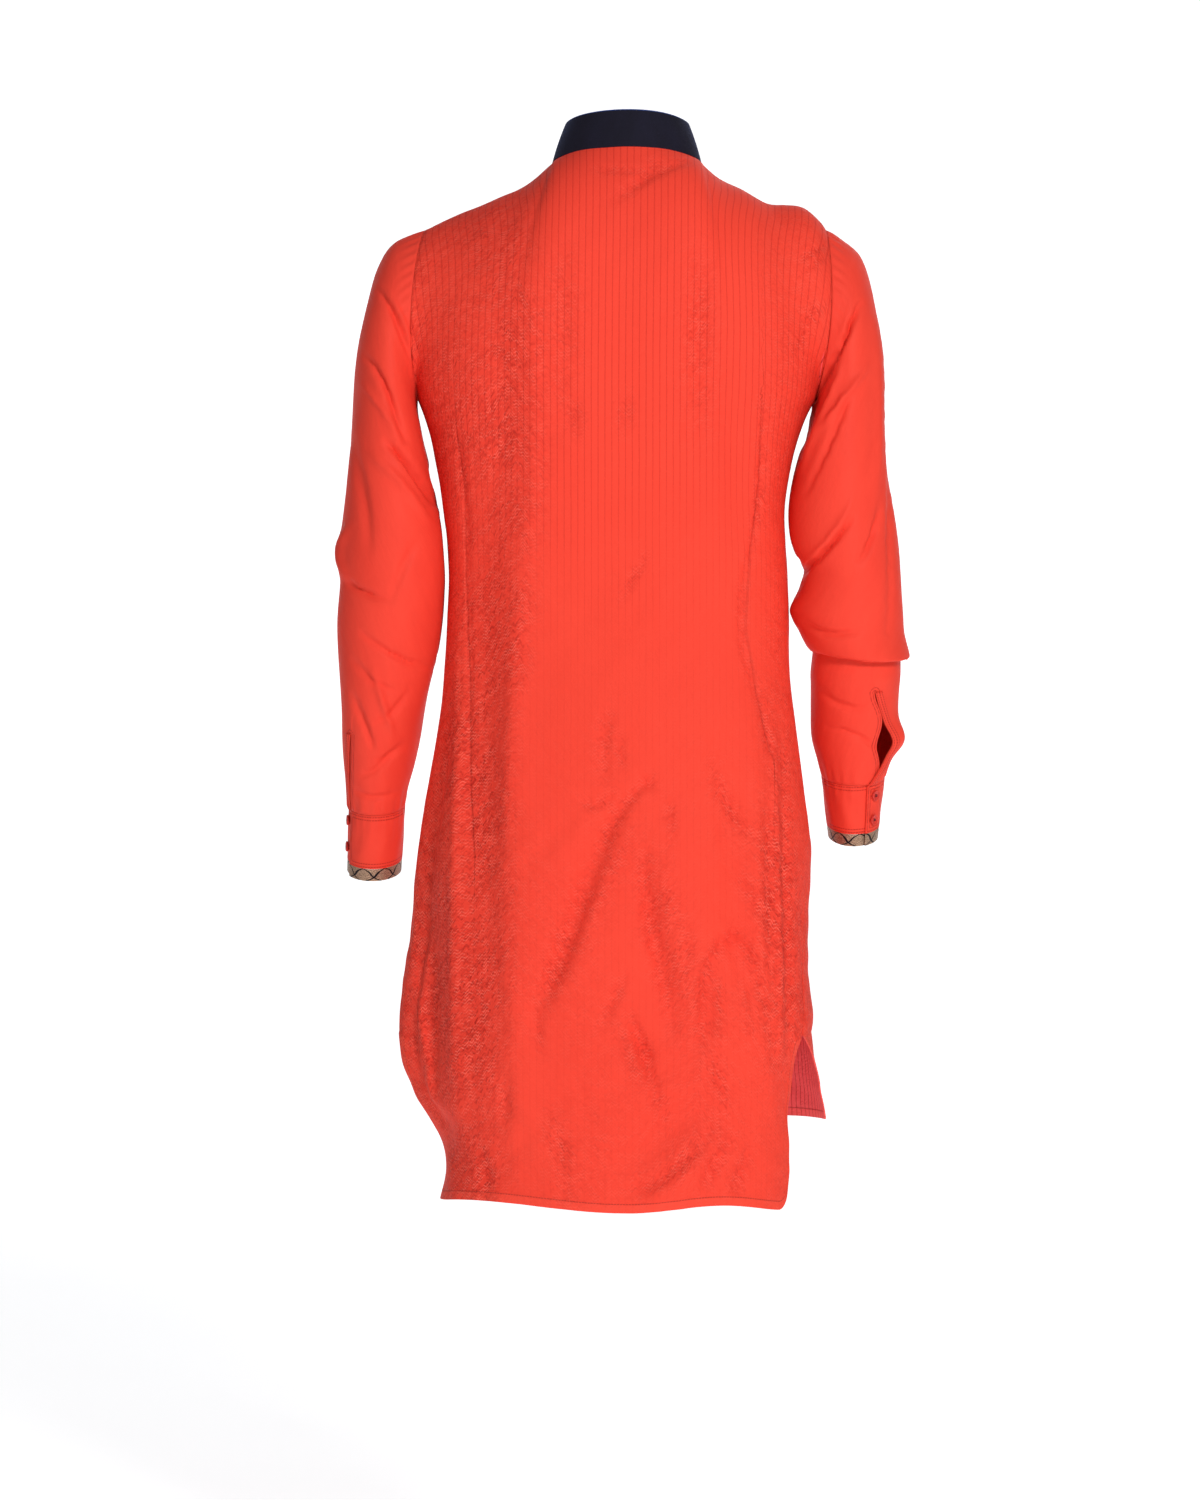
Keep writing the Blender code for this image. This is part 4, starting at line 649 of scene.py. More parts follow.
def cap_point(u, rise, panel):
    """The body above the armpits: u is -1 to 1 across, and rise is 0 at the armpit and 1 at the top edge."""
    size = np.abs(u)
    angle = 90.0 * u if panel == "back" else 180.0 - 90.0 * u
    low = ring(angle, np.full_like(u, ARMPIT_DROP), panel)
    neck_share = np.clip(size / NECK_SHARE, 0.0, 1.0)
    neck_angle = np.sign(u) * 90.0 * neck_share
    neck = neck_point(neck_angle if panel == "back" else 180.0 - neck_angle)
    out = np.clip((size - NECK_SHARE) / (1 - NECK_SHARE), 0.0, 1.0)
    shoulder = np.where((u > 0)[..., None], shoulder_point("left", out), shoulder_point("right", out))
    high = np.where((size <= NECK_SHARE)[..., None], neck, shoulder)
    reach = np.linalg.norm(high - low, axis=-1)[..., None]
    on_shoulder = ease(neck_share)[..., None]
    low_way, neck_way, shoulder_way = (np.array(ways[panel]) for ways in (LOW_WAYS, NECK_WAYS, SHOULDER_WAYS))
    high_way = neck_way * (1 - on_shoulder) + shoulder_way * on_shoulder
    t = rise[..., None]
    found = arc(low, low_way * reach, high, high_way * reach, t)
    over = 180.0 if panel == "back" else -180.0
    for side, chosen in (("left", u > 0), ("right", u <= 0)):
        edge_low, edge_high = armhole_point(side, 180.0), armhole_point(side, 0.0)
        span = np.linalg.norm(edge_high - edge_low)
        plain = arc(edge_low, low_way * span, edge_high, shoulder_way * span, t)
        pull = armhole_point(side, over * (1 - rise)) - plain
        found = np.where(chosen[..., None], found + (size**ARMHOLE_PULL_POWER)[..., None] * pull, found)
    return found


def panel_angle(u, drop, panel):
    """The angle round the body of a column, which drifts with the side seams."""
    left = np.interp(drop, SEAM_TABLE["drop"], SEAM_TABLE["left_" + panel])
    right = np.interp(drop, SEAM_TABLE["drop"], SEAM_TABLE["right_" + panel])
    if panel == "back":
        return np.where(u > 0, u * left, u * right)
    return np.where(u > 0, 180.0 - u * (180.0 - left), 180.0 - u * (180.0 - right))


def hem_drop(u, panel):
    if panel == "back":
        return BACK_HEM_DROP + BACK_HEM_WAVE * np.cos(BACK_HEM_WAVE_RATE * u) + BACK_HEM_TILT * u
    return FRONT_HEM_DROP + FRONT_HEM_BOW * u * u


def body_drop(u, v, panel):
    tail = np.clip(v - 1.0, 0.0, None) * (hem_drop(u, panel) - SLIT_DROP)
    return ARMPIT_DROP + np.clip(v, 0.0, 1.0) * (SLIT_DROP - ARMPIT_DROP) + tail


def plain_point(u, v, panel):
    """The body before its straight folds: v is -1 at the top, 0 at the armpit, 1 at the slit, 2 at the hem."""
    drop = body_drop(u, v, panel)
    angle = panel_angle(u, drop, panel)
    low = ring(angle, drop, panel)
    step = 0.5
    along = ring(angle + step, drop, panel) - ring(angle - step, drop, panel)
    outward = pointing(unit(points(-along[..., 1], along[..., 0], 0.0)), low)
    low = low + outward * side_fold(angle, drop)[..., None]
    high = cap_point(np.clip(u, -1.0, 1.0), np.clip(-v, 0.0, 1.0), panel)
    return np.where((v >= 0)[..., None], low, high)


def facing(surface, u, v, outward):
    """Unit normals of a surface from small steps, on the side of the given directions."""
    step = 1e-3
    along = surface(u + step, v) - surface(u - step, v)
    down = surface(u, v + step) - surface(u, v - step)
    return pointing(unit(np.cross(along, down)), outward)


def last_ring(side):
    return len(SLEEVE_TABLES[side]["slit"]) - 1


def sleeve_value(name, row, side):
    """A sleeve table's value at a place between its rings."""
    column = SLEEVE_TABLES[side][name]
    return smooth(row, np.arange(len(column), dtype=float), column)


def body_point(u, v, panel):
    place = plain_point(u, v, panel)
    on_u, on_v = np.clip(u, -1.0, 1.0), np.maximum(v, -1.0)
    normal = facing(lambda a, b: plain_point(a, b, panel), on_u, on_v, place - body_axis(place))
    folds = BACK_FOLDS if panel == "back" else FRONT_FOLDS
    return place + normal * straight_folds(place, folds)[..., None]


def body_axis(place):
    """The middle line that the body's cloth faces away from. It ends low, so that the shoulders face up."""
    return points(0.0, 0.0, np.minimum(place[..., 2], -ARMPIT_DROP))


def body_normal(u, v, panel):
    place = body_point(u, v, panel)
    return facing(lambda a, b: body_point(a, b, panel), u, v, place - body_axis(place))


def sleeve_angles(column, row, side):
    """The angle of a column on a ring: a column's number runs from 0 to SLEEVE_SIDES round the sleeve."""
    plain = column * 360.0 / SLEEVE_SIDES
    slit = 180.0 / SLEEVE_SIDES - sleeve_value("slit", row, side)
    shift = slit * np.clip((column - SLIT_COLUMN - 0.5) * 2, -1.0, 1.0)
    near = np.clip(1.5 - np.abs(column - SLIT_COLUMN - 0.5), 0.0, 1.0)
    base = plain - shift * near
    away = (base - SLIT_MIDDLE + 180.0) % 360.0 - 180.0
    return base + sleeve_value("turn", row, side) * np.exp(-((away / TURN_SPREAD) ** 2))


def sleeve_point(angle, row, side):
    """A point of the sleeve on ring number row. The angle runs from the top of the arm over its back."""
    value = {name: sleeve_value(name, row, side) for name in SLEEVE_TABLES[side]}
    turn = np.radians(angle)
    mid_x, mid_drop = (value["out_x"] + value["in_x"]) / 2, (value["out_drop"] + value["in_drop"]) / 2
    half_x, half_drop = (value["out_x"] - value["in_x"]) / 2, (value["in_drop"] - value["out_drop"]) / 2
    start_bulge = ARMHOLE_BULGE * np.clip(1 - row / ARMHOLE_BULGE_ROWS, 0.0, 1.0) ** 2 * np.sin(turn) ** 2
    return points(
        SIGN[side] * (mid_x + half_x * np.cos(turn) + start_bulge),
        value["middle_y"] + value["half_depth"] * np.sin(turn),
        -(mid_drop - half_drop * np.cos(turn)) - value["back_drop"] * np.sin(turn),
    )


def sleeve_middle(row, side):
    top, bottom = np.zeros_like(row), np.full_like(row, 180.0)
    return (sleeve_point(top, row, side) + sleeve_point(bottom, row, side)) / 2


def loose_edge(angle, place):
    """How far the right sleeve's slit edge stands out."""
    away = (angle + 180.0) % 360.0 - 180.0 - LOOSE_EDGE_ANGLE
    below = (-place[..., 2] - LOOSE_EDGE_DROP) / LOOSE_EDGE_REACH
    return LOOSE_EDGE_HEIGHT * np.exp(-((away / LOOSE_EDGE_SPREAD) ** 2) - below**2)


def cuff_point(angle, fall, side):
    """A point of the cuff's outer face: fall is 0 at the cuff seam and 1 at the cuff's bottom edge."""
    seam = sleeve_point(angle, np.full_like(angle, float(last_ring(side))), side)
    cuff = CUFF_TABLES[side]
    turn = np.radians(angle)
    half_x = (cuff["out_x"] - cuff["in_x"]) / 2
    low = points(
        SIGN[side] * (cuff["in_x"] + half_x + half_x * np.cos(turn)),
        cuff["middle_y"] + cuff["half_depth"] * np.sin(turn),
        -cuff["drop"] - SLEEVE_TABLES[side]["back_drop"][-1] * np.sin(turn),
    )
    return seam + (low - seam) * fall[..., None]


def cuff_face(angle, fall, side):
    """The outward direction of the cuff."""
    step = np.ones_like(angle)
    along = cuff_point(angle + step, fall, side) - cuff_point(angle - step, fall, side)
    down = cuff_point(angle, np.ones_like(fall), side) - cuff_point(angle, np.zeros_like(fall), side)
    turn = np.radians(angle)
    return pointing(unit(np.cross(along, down)), points(SIGN[side] * np.cos(turn), np.sin(turn), 0.0))


def tuck_depth(angle, side):
    """How far the band lies inside its own upper end."""
    cuff = CUFF_TABLES[side]
    overlap = cuff["end"] - 360.0 - cuff["start"]
    if cuff["under_end"] == "first":
        along = (angle - cuff["start"] - overlap - TUCK_START) / TUCK_LENGTH
    else:
        along = (cuff["end"] - overlap - TUCK_START - angle) / TUCK_LENGTH
    return (1 - ease(along)) * (CUFF_WALL + TUCK_GAP)


class Value:
    """A number, place or colour in a material. Numbers can be added, taken away, multiplied and divided."""

    def __init__(self, shader, socket):
        self.shader = shader
        self.socket = socket

    def __add__(self, other):
        return self.shader.math("ADD", self, other)

    def __sub__(self, other):
        return self.shader.math("SUBTRACT", self, other)

    def __rsub__(self, other):
        return self.shader.math("SUBTRACT", other, self)

    def __mul__(self, other):
        return self.shader.math("MULTIPLY", self, other)

    def __truediv__(self, other):
        return self.shader.math("DIVIDE", self, other)

    def __abs__(self):
        return self.shader.math("ABSOLUTE", self)


class Shader:
    """A small helper that adds nodes to one material."""

    def __init__(self, name, roughness):
        self.material = bpy.data.materials.new(name)
        self.material.use_nodes = True
        self.tree = self.material.node_tree
        self.body = self.tree.nodes["Principled BSDF"]
        self.fix("Roughness", roughness)
        self.fix("Specular IOR Level", SILK_GLOSS)

    def fix(self, name, value):
        """Sets one of the surface's own numbers or colours."""
        self.body.inputs[name].default_value = value

    def put(self, value, socket):
        if isinstance(value, Value):
            self.tree.links.new(value.socket, socket)
        else:
            socket.default_value = value

    def math(self, operation, *values, clamp=False):
        node = self.tree.nodes.new("ShaderNodeMath")
        node.operation = operation
        node.use_clamp = clamp
        for value, socket in zip(values, node.inputs):
            self.put(value, socket)
        return Value(self, node.outputs[0])

    def mark(self, name):
        """A number that the mesh carries at each point."""
        node = self.tree.nodes.new("ShaderNodeAttribute")
        node.attribute_name = name
        return Value(self, node.outputs["Fac"])

    def cloth_place(self):
        """Across and along the cloth in metres."""
        node = self.tree.nodes.new("ShaderNodeUVMap")
        node.uv_map = "cloth"
        parts = self.tree.nodes.new("ShaderNodeSeparateXYZ")
        self.tree.links.new(node.outputs[0], parts.inputs[0])
        return Value(self, parts.outputs["X"]), Value(self, parts.outputs["Y"])

    def object_place(self):
        """A place in metres on the object itself."""
        return Value(self, self.tree.nodes.new("ShaderNodeTexCoord").outputs["Object"])

    def spot(self, across, along):
        node = self.tree.nodes.new("ShaderNodeCombineXYZ")
        self.put(across, node.inputs[0])
        self.put(along, node.inputs[1])
        return Value(self, node.outputs[0])

    def noise(self, place, scale, detail=3.0):
        node = self.tree.nodes.new("ShaderNodeTexNoise")
        self.put(place, node.inputs["Vector"])
        node.inputs["Scale"].default_value = scale
        node.inputs["Detail"].default_value = detail
        node.inputs["Roughness"].default_value = NOISE_ROUGHNESS
        return Value(self, node.outputs["Fac"])

    def step(self, value, low, high):
        """0 below low, 1 above high, smooth between. Low may be above high."""
        node = self.tree.nodes.new("ShaderNodeMapRange")
        node.interpolation_type = "SMOOTHSTEP"
        self.put(value, node.inputs["Value"])
        node.inputs["From Min"].default_value = low
        node.inputs["From Max"].default_value = high
        return Value(self, node.outputs["Result"])

    def beside(self, value, pitch):
        """How far a place lies from the nearest of evenly spaced lines, as a share of their distance."""
        return abs(self.math("FRACT", value / pitch + 0.5) - 0.5)

    def line(self, value, pitch, half_width, blur):
        """1 on evenly spaced lines across a place in metres."""
        return self.step(self.beside(value, pitch) * pitch, half_width + blur, half_width)

    def mix(self, share, first, second):
        node = self.tree.nodes.new("ShaderNodeMix")
        node.data_type = "RGBA"
        self.put(share, node.inputs["Factor"])
        self.put(first, node.inputs[6])
        self.put(second, node.inputs[7])
        return Value(self, node.outputs[2])

    def colour(self, base, layers=()):
        """Gives the surface a base colour with others laid over it, each as strongly as its share says."""
        for share, colour in layers:
            base = self.mix(share, base, colour)
        self.put(base, self.body.inputs["Base Color"])

    def bump(self, height, distance):
        node = self.tree.nodes.new("ShaderNodeBump")
        node.inputs["Distance"].default_value = distance
        node.inputs["Strength"].default_value = 1.0
        self.put(height, node.inputs["Height"])
        self.tree.links.new(node.outputs[0], self.body.inputs["Normal"])

    def stitches(self, distance, along, inset):
        """1 on each stitch of a row that lies inset from an edge."""
        row = self.step(abs(distance - inset), 0.00065, 0.00030)
        turns = self.math("FRACT", along / STITCH_LENGTH)
        return row * self.step(abs(turns - 0.5), 0.42, 0.34)

    def strokes(self, along, rate, zigzag, slant, cloud, wander):
        """Soft short strokes that run down, slanting one way and the other, with an uneven course."""
        phase = along * rate + zigzag * slant + cloud * wander
        return self.step(self.math("SINE", phase), -0.15, 0.95)

    def groove(self, distance, half_width):
        """1 in the middle of a seam line, falling away to both sides."""
        share = distance / half_width
        return self.math("EXPONENT", share * share * -1.0)


def striped_silk():
    """Red-orange silk with fine dark lines, crinkles between them drawn with painted shade and painted glints,
    painted shade along the creases and at the sides, and its paler wrong side.
    """
    made = Shader("striped_silk", 0.42)
    across, along = made.cloth_place()
    place = made.spot(across, along)
    wavy = across + (made.noise(place, 14.0) - 0.5) * 0.0012
    zigzag = made.beside(wavy, STRIPE_PITCH)
    seam, hem, slit = made.mark("seam"), made.mark("hem"), made.mark("slit")
    inside = made.mark("inside") * made.step(seam, 0.003, 0.006)

    fading = made.step(along + made.noise(place, 9.0) * 0.3, 0.72, 0.42) * 0.80 + 0.20
    broken = made.step(made.noise(made.spot(across * 3.0, along), 420.0, 2.0), 0.22, 0.50)
    dark_line = made.line(wavy, STRIPE_PITCH, 0.00030, 0.00055) * broken
    dark_line = dark_line * made.math("MAXIMUM", fading, inside)

    cloud = made.noise(place, 120.0)
    patch = made.step(made.noise(place, 30.0), 0.30, 0.65)
    # How much the silk crinkles; the same share also paints shade along the creases and at the sides.
    crinkle_and_shade_share = (made.mark("crinkle_and_shade") * 0.92 + 0.05) * (patch * 0.45 + 0.55)
    # The strokes of the crinkles, used as bumps and as painted shade in the colour.
    fine = made.strokes(along, FINE_CRINKLE_RATE, zigzag, 11.0, cloud, 3.0)
    fine = fine * made.step(made.noise(place, 75.0, 2.0), 0.36, 0.60)
    coarse = made.strokes(along, COARSE_CRINKLE_RATE, zigzag, 7.0, cloud, 6.0)
    coarse = coarse * made.step(made.noise(made.spot(wavy, along), 190.0, 1.0), 0.40, 0.60)
    crinkle_and_shade = made.math("MAXIMUM", fine * 0.7, coarse) * crinkle_and_shade_share
    # Painted glints: bright flecks of highlight over the crinkles.
    glint = made.strokes(along, GLINT_RATE, zigzag, -11.0, cloud, 3.0)
    glint = glint * made.step(made.noise(place, 110.0, 2.0), 0.42, 0.62)

    darts = made.groove(made.mark("dart_left"), 0.0011) + made.groove(made.mark("dart_right"), 0.0011)
    sewn = made.stitches(hem, across, HEM_WIDTH) + made.stitches(slit, along, HEM_WIDTH)
    turned = made.math("MAXIMUM", *(made.step(mark, HEM_WIDTH + 0.001, HEM_WIDTH) for mark in (hem, slit)))
    # The first three layers are painted light: shade along the creases and at the sides, shade in the strokes
    # of the crinkles, and glints.
    made.colour(
        made.mix(made.noise(place, 5.5), (0.80, 0.050, 0.029, 1), (0.88, 0.065, 0.037, 1)),
        (
            (crinkle_and_shade_share * 0.20, (0.50, 0.016, 0.012, 1)),
            (crinkle_and_shade * 0.62, (0.38, 0.011, 0.009, 1)),
            (glint * crinkle_and_shade_share * 0.70, (0.98, 0.17, 0.12, 1)),
            (inside * 0.85, (0.95, 0.125, 0.135, 1)),
            (dark_line * (inside * 0.35 + 0.40), (0.46, 0.018, 0.014, 1)),
            (made.math("ADD", darts * 0.25, sewn, clamp=True) * 0.50, (0.16, 0.008, 0.010, 1)),
            (turned * 0.16, (0.93, 0.11, 0.07, 1)),
        ),
    )
    made.put(crinkle_and_shade * -0.08 + 0.62, made.body.inputs["Roughness"])
    weave = made.noise(made.spot(across * 4.0, along), 900.0, 2.0)
    height = crinkle_and_shade * -1.5 + weave * 0.12 + dark_line * -0.25 + turned
    height = height + darts * -1.5 + made.groove(seam, 0.0020) * -1.5 + sewn * -0.7
    made.bump(height, 0.0005)
    return made.material


def smooth_silk():
    """The plain silk of the sleeves and cuffs, with soft fine puckers and edge stitches."""
    made = Shader("smooth_silk", 0.50)
    across, along = made.cloth_place()
    soft = made.noise(made.spot(across, along), 24.0, 4.0)
    fine = made.noise(made.spot(across * 0.45, along), 210.0)
    weave = made.noise(made.spot(across * 5.0, along), 1100.0, 2.0)
    edge = made.mark("edge")
    sewn = made.stitches(edge, across, 0.0020) + made.stitches(edge, across, 0.0052)
    made.colour(
        made.mix(soft, (0.77, 0.046, 0.028, 1), (0.86, 0.065, 0.038, 1)),
        ((fine * 0.12, (0.88, 0.08, 0.05, 1)), (sewn * 0.55, (0.40, 0.014, 0.012, 1))),
    )
    made.put(fine * 0.12 + 0.46, made.body.inputs["Roughness"])
    seam = made.groove(made.mark("seam"), 0.0018)
    made.bump(soft * 1.3 + fine * 0.45 + weave * 0.08 + seam * -1.4 + sewn * -0.8, 0.0005)
    return made.material


def collar_velvet():
    """Blue-black velvet with a thin royal-blue line of painted sheen along its top."""
    made = Shader("collar_velvet", 0.85)
    across, along = made.cloth_place()
    pile = made.noise(made.spot(across, along), 700.0)
    brushed = made.noise(made.spot(across, along * 0.4), 42.0)
    # Painted sheen: a royal-blue line along the top edge.
    top = made.step(made.mark("top"), 0.0017, 0.0007)
    made.colour(
        made.mix(brushed, (0.004, 0.003, 0.007, 1), (0.010, 0.009, 0.024, 1)),
        ((top * 0.85, (0.035, 0.085, 0.36, 1)),),
    )
    made.fix("Sheen Weight", 0.35)
    made.fix("Sheen Roughness", 0.25)
    made.fix("Sheen Tint", (0.20, 0.30, 0.75, 1))
    made.fix("Specular IOR Level", 0.2)
    made.bump(pile + brushed * 0.8, 0.0004)
    return made.material


def ribbon_brocade():
    """Gold-brown metallic ribbon with a dark curved lattice, a common woven trim."""
    made = Shader("ribbon_brocade", 0.38)
    across, along = made.cloth_place()
    slope = along * 1.55 + made.math("SINE", along * 520.0) * 0.0016
    rising = made.line(across + slope, 0.0245, 0.0011, 0.0008)
    falling = made.line(across - slope, 0.0245, 0.0008, 0.0007)
    lattice = made.math("MAXIMUM", rising, falling)
    ribs = made.math("SINE", across * 7800.0)
    fleck = made.noise(made.spot(across * 1.6, along), 950.0, 2.0)
    selvedge = made.step(made.mark("edge"), 0.0011, 0.0006)
    made.colour(
        made.mix(made.step(fleck, 0.35, 0.68), (0.16, 0.085, 0.060, 1), (0.64, 0.42, 0.28, 1)),
        ((selvedge * 0.5, (0.60, 0.42, 0.28, 1)), (lattice, (0.012, 0.009, 0.012, 1))),
    )
    made.put((1.0 - lattice) * 0.55, made.body.inputs["Metallic"])
    made.bump(ribs * 0.14 + fleck * 0.5 + lattice * 0.9, 0.00035)
    return made.material


def clouded(name, roughness, scale, detail, dark, light):
    """A plain material whose colour drifts between two tones, and that drift."""
    made = Shader(name, roughness)
    cloud = made.noise(made.object_place(), scale, detail)
    made.colour(made.mix(cloud, dark, light))
    return made, cloud


def red_button():
    made, cloud = clouded("red_button", 0.30, 260.0, 3.0, (0.50, 0.022, 0.018, 1), (0.74, 0.060, 0.044, 1))
    made.fix("Coat Weight", 0.3)
    made.bump(cloud, 0.0001)
    return made.material


def dark_thread():
    made, twist = clouded("dark_thread", 0.7, 2600.0, 2.0, (0.030, 0.006, 0.012, 1), (0.10, 0.018, 0.030, 1))
    made.bump(twist, 0.0001)
    return made.material


def floor_paint():
    """Pale paint with a slight glow, so that the floor stays plain and bright."""
    made = clouded("floor_paint", 0.8, 3.0, 2.0, (0.84, 0.84, 0.85, 1), (0.88, 0.88, 0.89, 1))[0]
    made.fix("Emission Color", (1.0, 1.0, 1.0, 1))
    made.fix("Emission Strength", FLOOR_GLOW)
    return made.material


def new_object(name, vertices, faces, material, sharp=None):
    """A smooth mesh with one material. Its edges stay sharp from the given angle in degrees."""
    data = bpy.data.meshes.new(name)
    data.from_pydata(vertices, [], faces)
    data.validate()
    data.materials.append(material)
    data.shade_smooth()
    if sharp:
        data.set_sharp_from_angle(angle=math.radians(sharp))
    made = bpy.data.objects.new(name, data)
    bpy.context.scene.collection.objects.link(made)
    return made


def shell_faces(cells, closed):
    """The faces of both skins of a shell and of its free edges. Rows run down, columns across."""
    rows, count = cells.shape[0] + 1, cells.shape[1]
    columns = count if closed else count + 1
    index = np.arange(rows * columns).reshape(rows, columns)
    row, column = np.nonzero(cells)
    after = (column + 1) % columns
    corners = (index[row, column], index[row + 1, column], index[row + 1, after], index[row, after])
    square = np.stack(corners, axis=1)
    faces = [square, square[:, [0, 3, 2, 1]] + rows * columns]
    padded = np.zeros((rows + 1, count + 2), bool)
    padded[1:rows, 1 : count + 1] = cells
    if closed:
        padded[1:rows, 0], padded[1:rows, -1] = cells[:, -1], cells[:, 0]
    for down, aside, first, second in ((-1, 0, 3, 0), (0, 1, 2, 3), (1, 0, 1, 2), (0, -1, 0, 1)):
        free = ~padded[row + 1 + down, column + 1 + aside]
        a, b = square[free, first], square[free, second]
        faces.append(np.stack([a, b, b + rows * columns, a + rows * columns], axis=1))
    return np.concatenate(faces)


def cloth(name, outer, inner, marks, material, cells=None, closed=False):
    """A thin shell over a grid of cells, joined along every free edge.

    marks holds a number for each grid point under each name: "across" and "along" are the place on the cloth,
    and "round" is how far once round a closed shell is.
    """
    shape = outer.shape[:2]
    if cells is None:
        cells = np.ones((shape[0] - 1, shape[1] - 1), bool)
    used, place = np.unique(shell_faces(cells, closed), return_inverse=True)
    whole = np.concatenate([outer.reshape(-1, 3), inner.reshape(-1, 3)])[used]
    made = new_object(name, whole.tolist(), place.reshape(-1, 4).tolist(), material, SHARP_CLOTH)
    data = made.data
    at_points = {
        mark: np.tile(np.broadcast_to(values, shape).astype(np.float32).reshape(-1), 2)[used]
        for mark, values in marks.items()
    }
    at_points["inside"] = np.repeat([0.0, 1.0], shape[0] * shape[1])[used].astype(np.float32)
    for mark, values in at_points.items():
        if mark != "round":
            data.attributes.new(mark, "FLOAT", "POINT").data.foreach_set("value", values)
    corners = np.empty(len(data.loops), np.int32)
    data.loops.foreach_get("vertex_index", corners)
    flat = np.stack([at_points["across"], at_points["along"]], axis=1)[corners]
    if closed:
        whole_turn = at_points["round"][corners]
        across = flat[:, 0].reshape(-1, 4)
        over_join = across.max(axis=1, keepdims=True) - across > whole_turn.reshape(-1, 4) / 2
        flat[:, 0] += over_join.reshape(-1) * whole_turn
    data.uv_layers.new(name="cloth").data.foreach_set("uv", flat.reshape(-1))
    turn_outward(made, outer, inner)
    return made


def turn_outward(made, outer, inner):
    """Turns all faces round if the shell is inside out."""
    data = made.data
    face = data.polygons[0]
    thick = (outer - inner).reshape(-1, 3)
    nearest = np.argmin(np.linalg.norm(outer.reshape(-1, 3) - np.array(face.center), axis=1))
    if np.dot(face.normal, thick[nearest]) < 0:
        data.flip_normals()


def grid_normals(place, outward, closed):
    """Unit normals of a grid of points, on the side of the given directions."""
    if closed:
        wide = np.concatenate([place[:, -1:], place, place[:, :1]], axis=1)
        across = (wide[:, 2:] - wide[:, :-2]) / 2
    else:
        across = np.gradient(place, axis=1)
    return pointing(unit(np.cross(across, np.gradient(place, axis=0))), outward)


def crease_height(place, rows, scale):
    """The height of the listed creases at points given by x and drop, and how near the closest one is."""
    x, drop = place[..., 0], -place[..., 2]
    x = x + scale["ragged"] * np.sin(310 * drop + 90 * x) * np.sin(97 * drop - 160 * x + 1.0)
    drop = drop + scale["ragged"] * np.sin(290 * x + 60 * drop) * np.sin(110 * x + 130 * drop)
    height, near_one = np.zeros_like(x), np.zeros_like(x)
    for row in rows:
        crease = dict(zip(CREASE_COLUMNS, row))
        line_x, line_drop = crease_line(crease, "x"), crease_line(crease, "drop")
        reach = crease["half_width"] * CREASE_REACH
        near = (x > line_x.min() - reach) & (x < line_x.max() + reach)
        near &= (drop > line_drop.min() - reach) & (drop < line_drop.max() + reach)
        if not near.any():
            continue
        at = (x[near], drop[near], line_x, line_drop)
        narrow = stroke(*at, crease["half_width"] * scale["width"])
        height[near] += crease["height"] * scale["height"] * narrow
        near_one[near] = np.maximum(near_one[near], stroke(*at, crease["half_width"] * CRINKLE_REACH))
    return height, near_one


def crease_line(crease, way):
    """The x or the drop of a curve that passes through a crease's three points."""
    t = np.linspace(0.0, 1.0, CREASE_STEPS)
    start, middle, end = (crease[f"{way}_{number}"] for number in range(3))
    bend = 2 * middle - (start + end) / 2
    return start * (1 - t) ** 2 + 2 * bend * t * (1 - t) + end * t * t


def stroke(x, drop, line_x, line_drop, half_width):
    """1 on a curved line, soft to its sides and towards its ends."""
    best = np.full(x.shape, np.inf)
    along = np.zeros_like(x)
    for number in range(len(line_x) - 1):
        run_x, run_drop = line_x[number + 1] - line_x[number], line_drop[number + 1] - line_drop[number]
        from_x, from_drop = x - line_x[number], drop - line_drop[number]
        share = np.clip((from_x * run_x + from_drop * run_drop) / (run_x**2 + run_drop**2), 0.0, 1.0)
        away = np.hypot(from_x - share * run_x, from_drop - share * run_drop)
        closer = away < best
        best = np.where(closer, away, best)
        along = np.where(closer, (number + share) / (len(line_x) - 1), along)
    fade = np.sin(math.pi * (along * 0.88 + 0.06)) ** 0.8
    return fade * np.exp(-((best / half_width) ** 2))


def running(steps):
    """Adds up the lengths of steps along the first axis, from 0."""
    return np.concatenate([np.zeros_like(steps[:1]), np.cumsum(steps, axis=0)])


def run_down(place):
    """How far each point of a grid lies below the first row, along the cloth."""
    return running(np.linalg.norm(np.diff(place, axis=0), axis=-1))


def run_across(place):
    """How far each point of a grid lies from the first column, along the cloth."""
    return running(np.linalg.norm(np.diff(place, axis=1), axis=-1).T).T


def line_distance(place, line):
    """How far a point lies to the side of a line that runs down the body."""
    drop = -place[..., 2]
    rows = np.array(line)
    there = np.interp(drop, rows[:, 1], rows[:, 0])
    beyond = np.maximum(rows[0, 1] - drop, 0.0) + np.maximum(drop - rows[-1, 1], 0.0)
    side = place[..., 0] - there
    return side + np.where(side < 0, -beyond, beyond)


def fine_columns(panel):
    neck = np.linspace(0.0, NECK_SHARE, NECK_FINE + 1)
    out = 1 - (1 - np.linspace(0.0, 1.0, SIDE_FINE + 1)[1:]) ** SIDE_CROWDING
    half = np.concatenate([neck, NECK_SHARE + (1 - NECK_SHARE) * out])
    if panel == "front":
        half[0] = OPENING_HALF_WIDTH / NECK_HALF_WIDTH * NECK_SHARE * 2 / math.pi
        return np.concatenate([-half[::-1], half])
    return np.concatenate([-half[:0:-1], half])


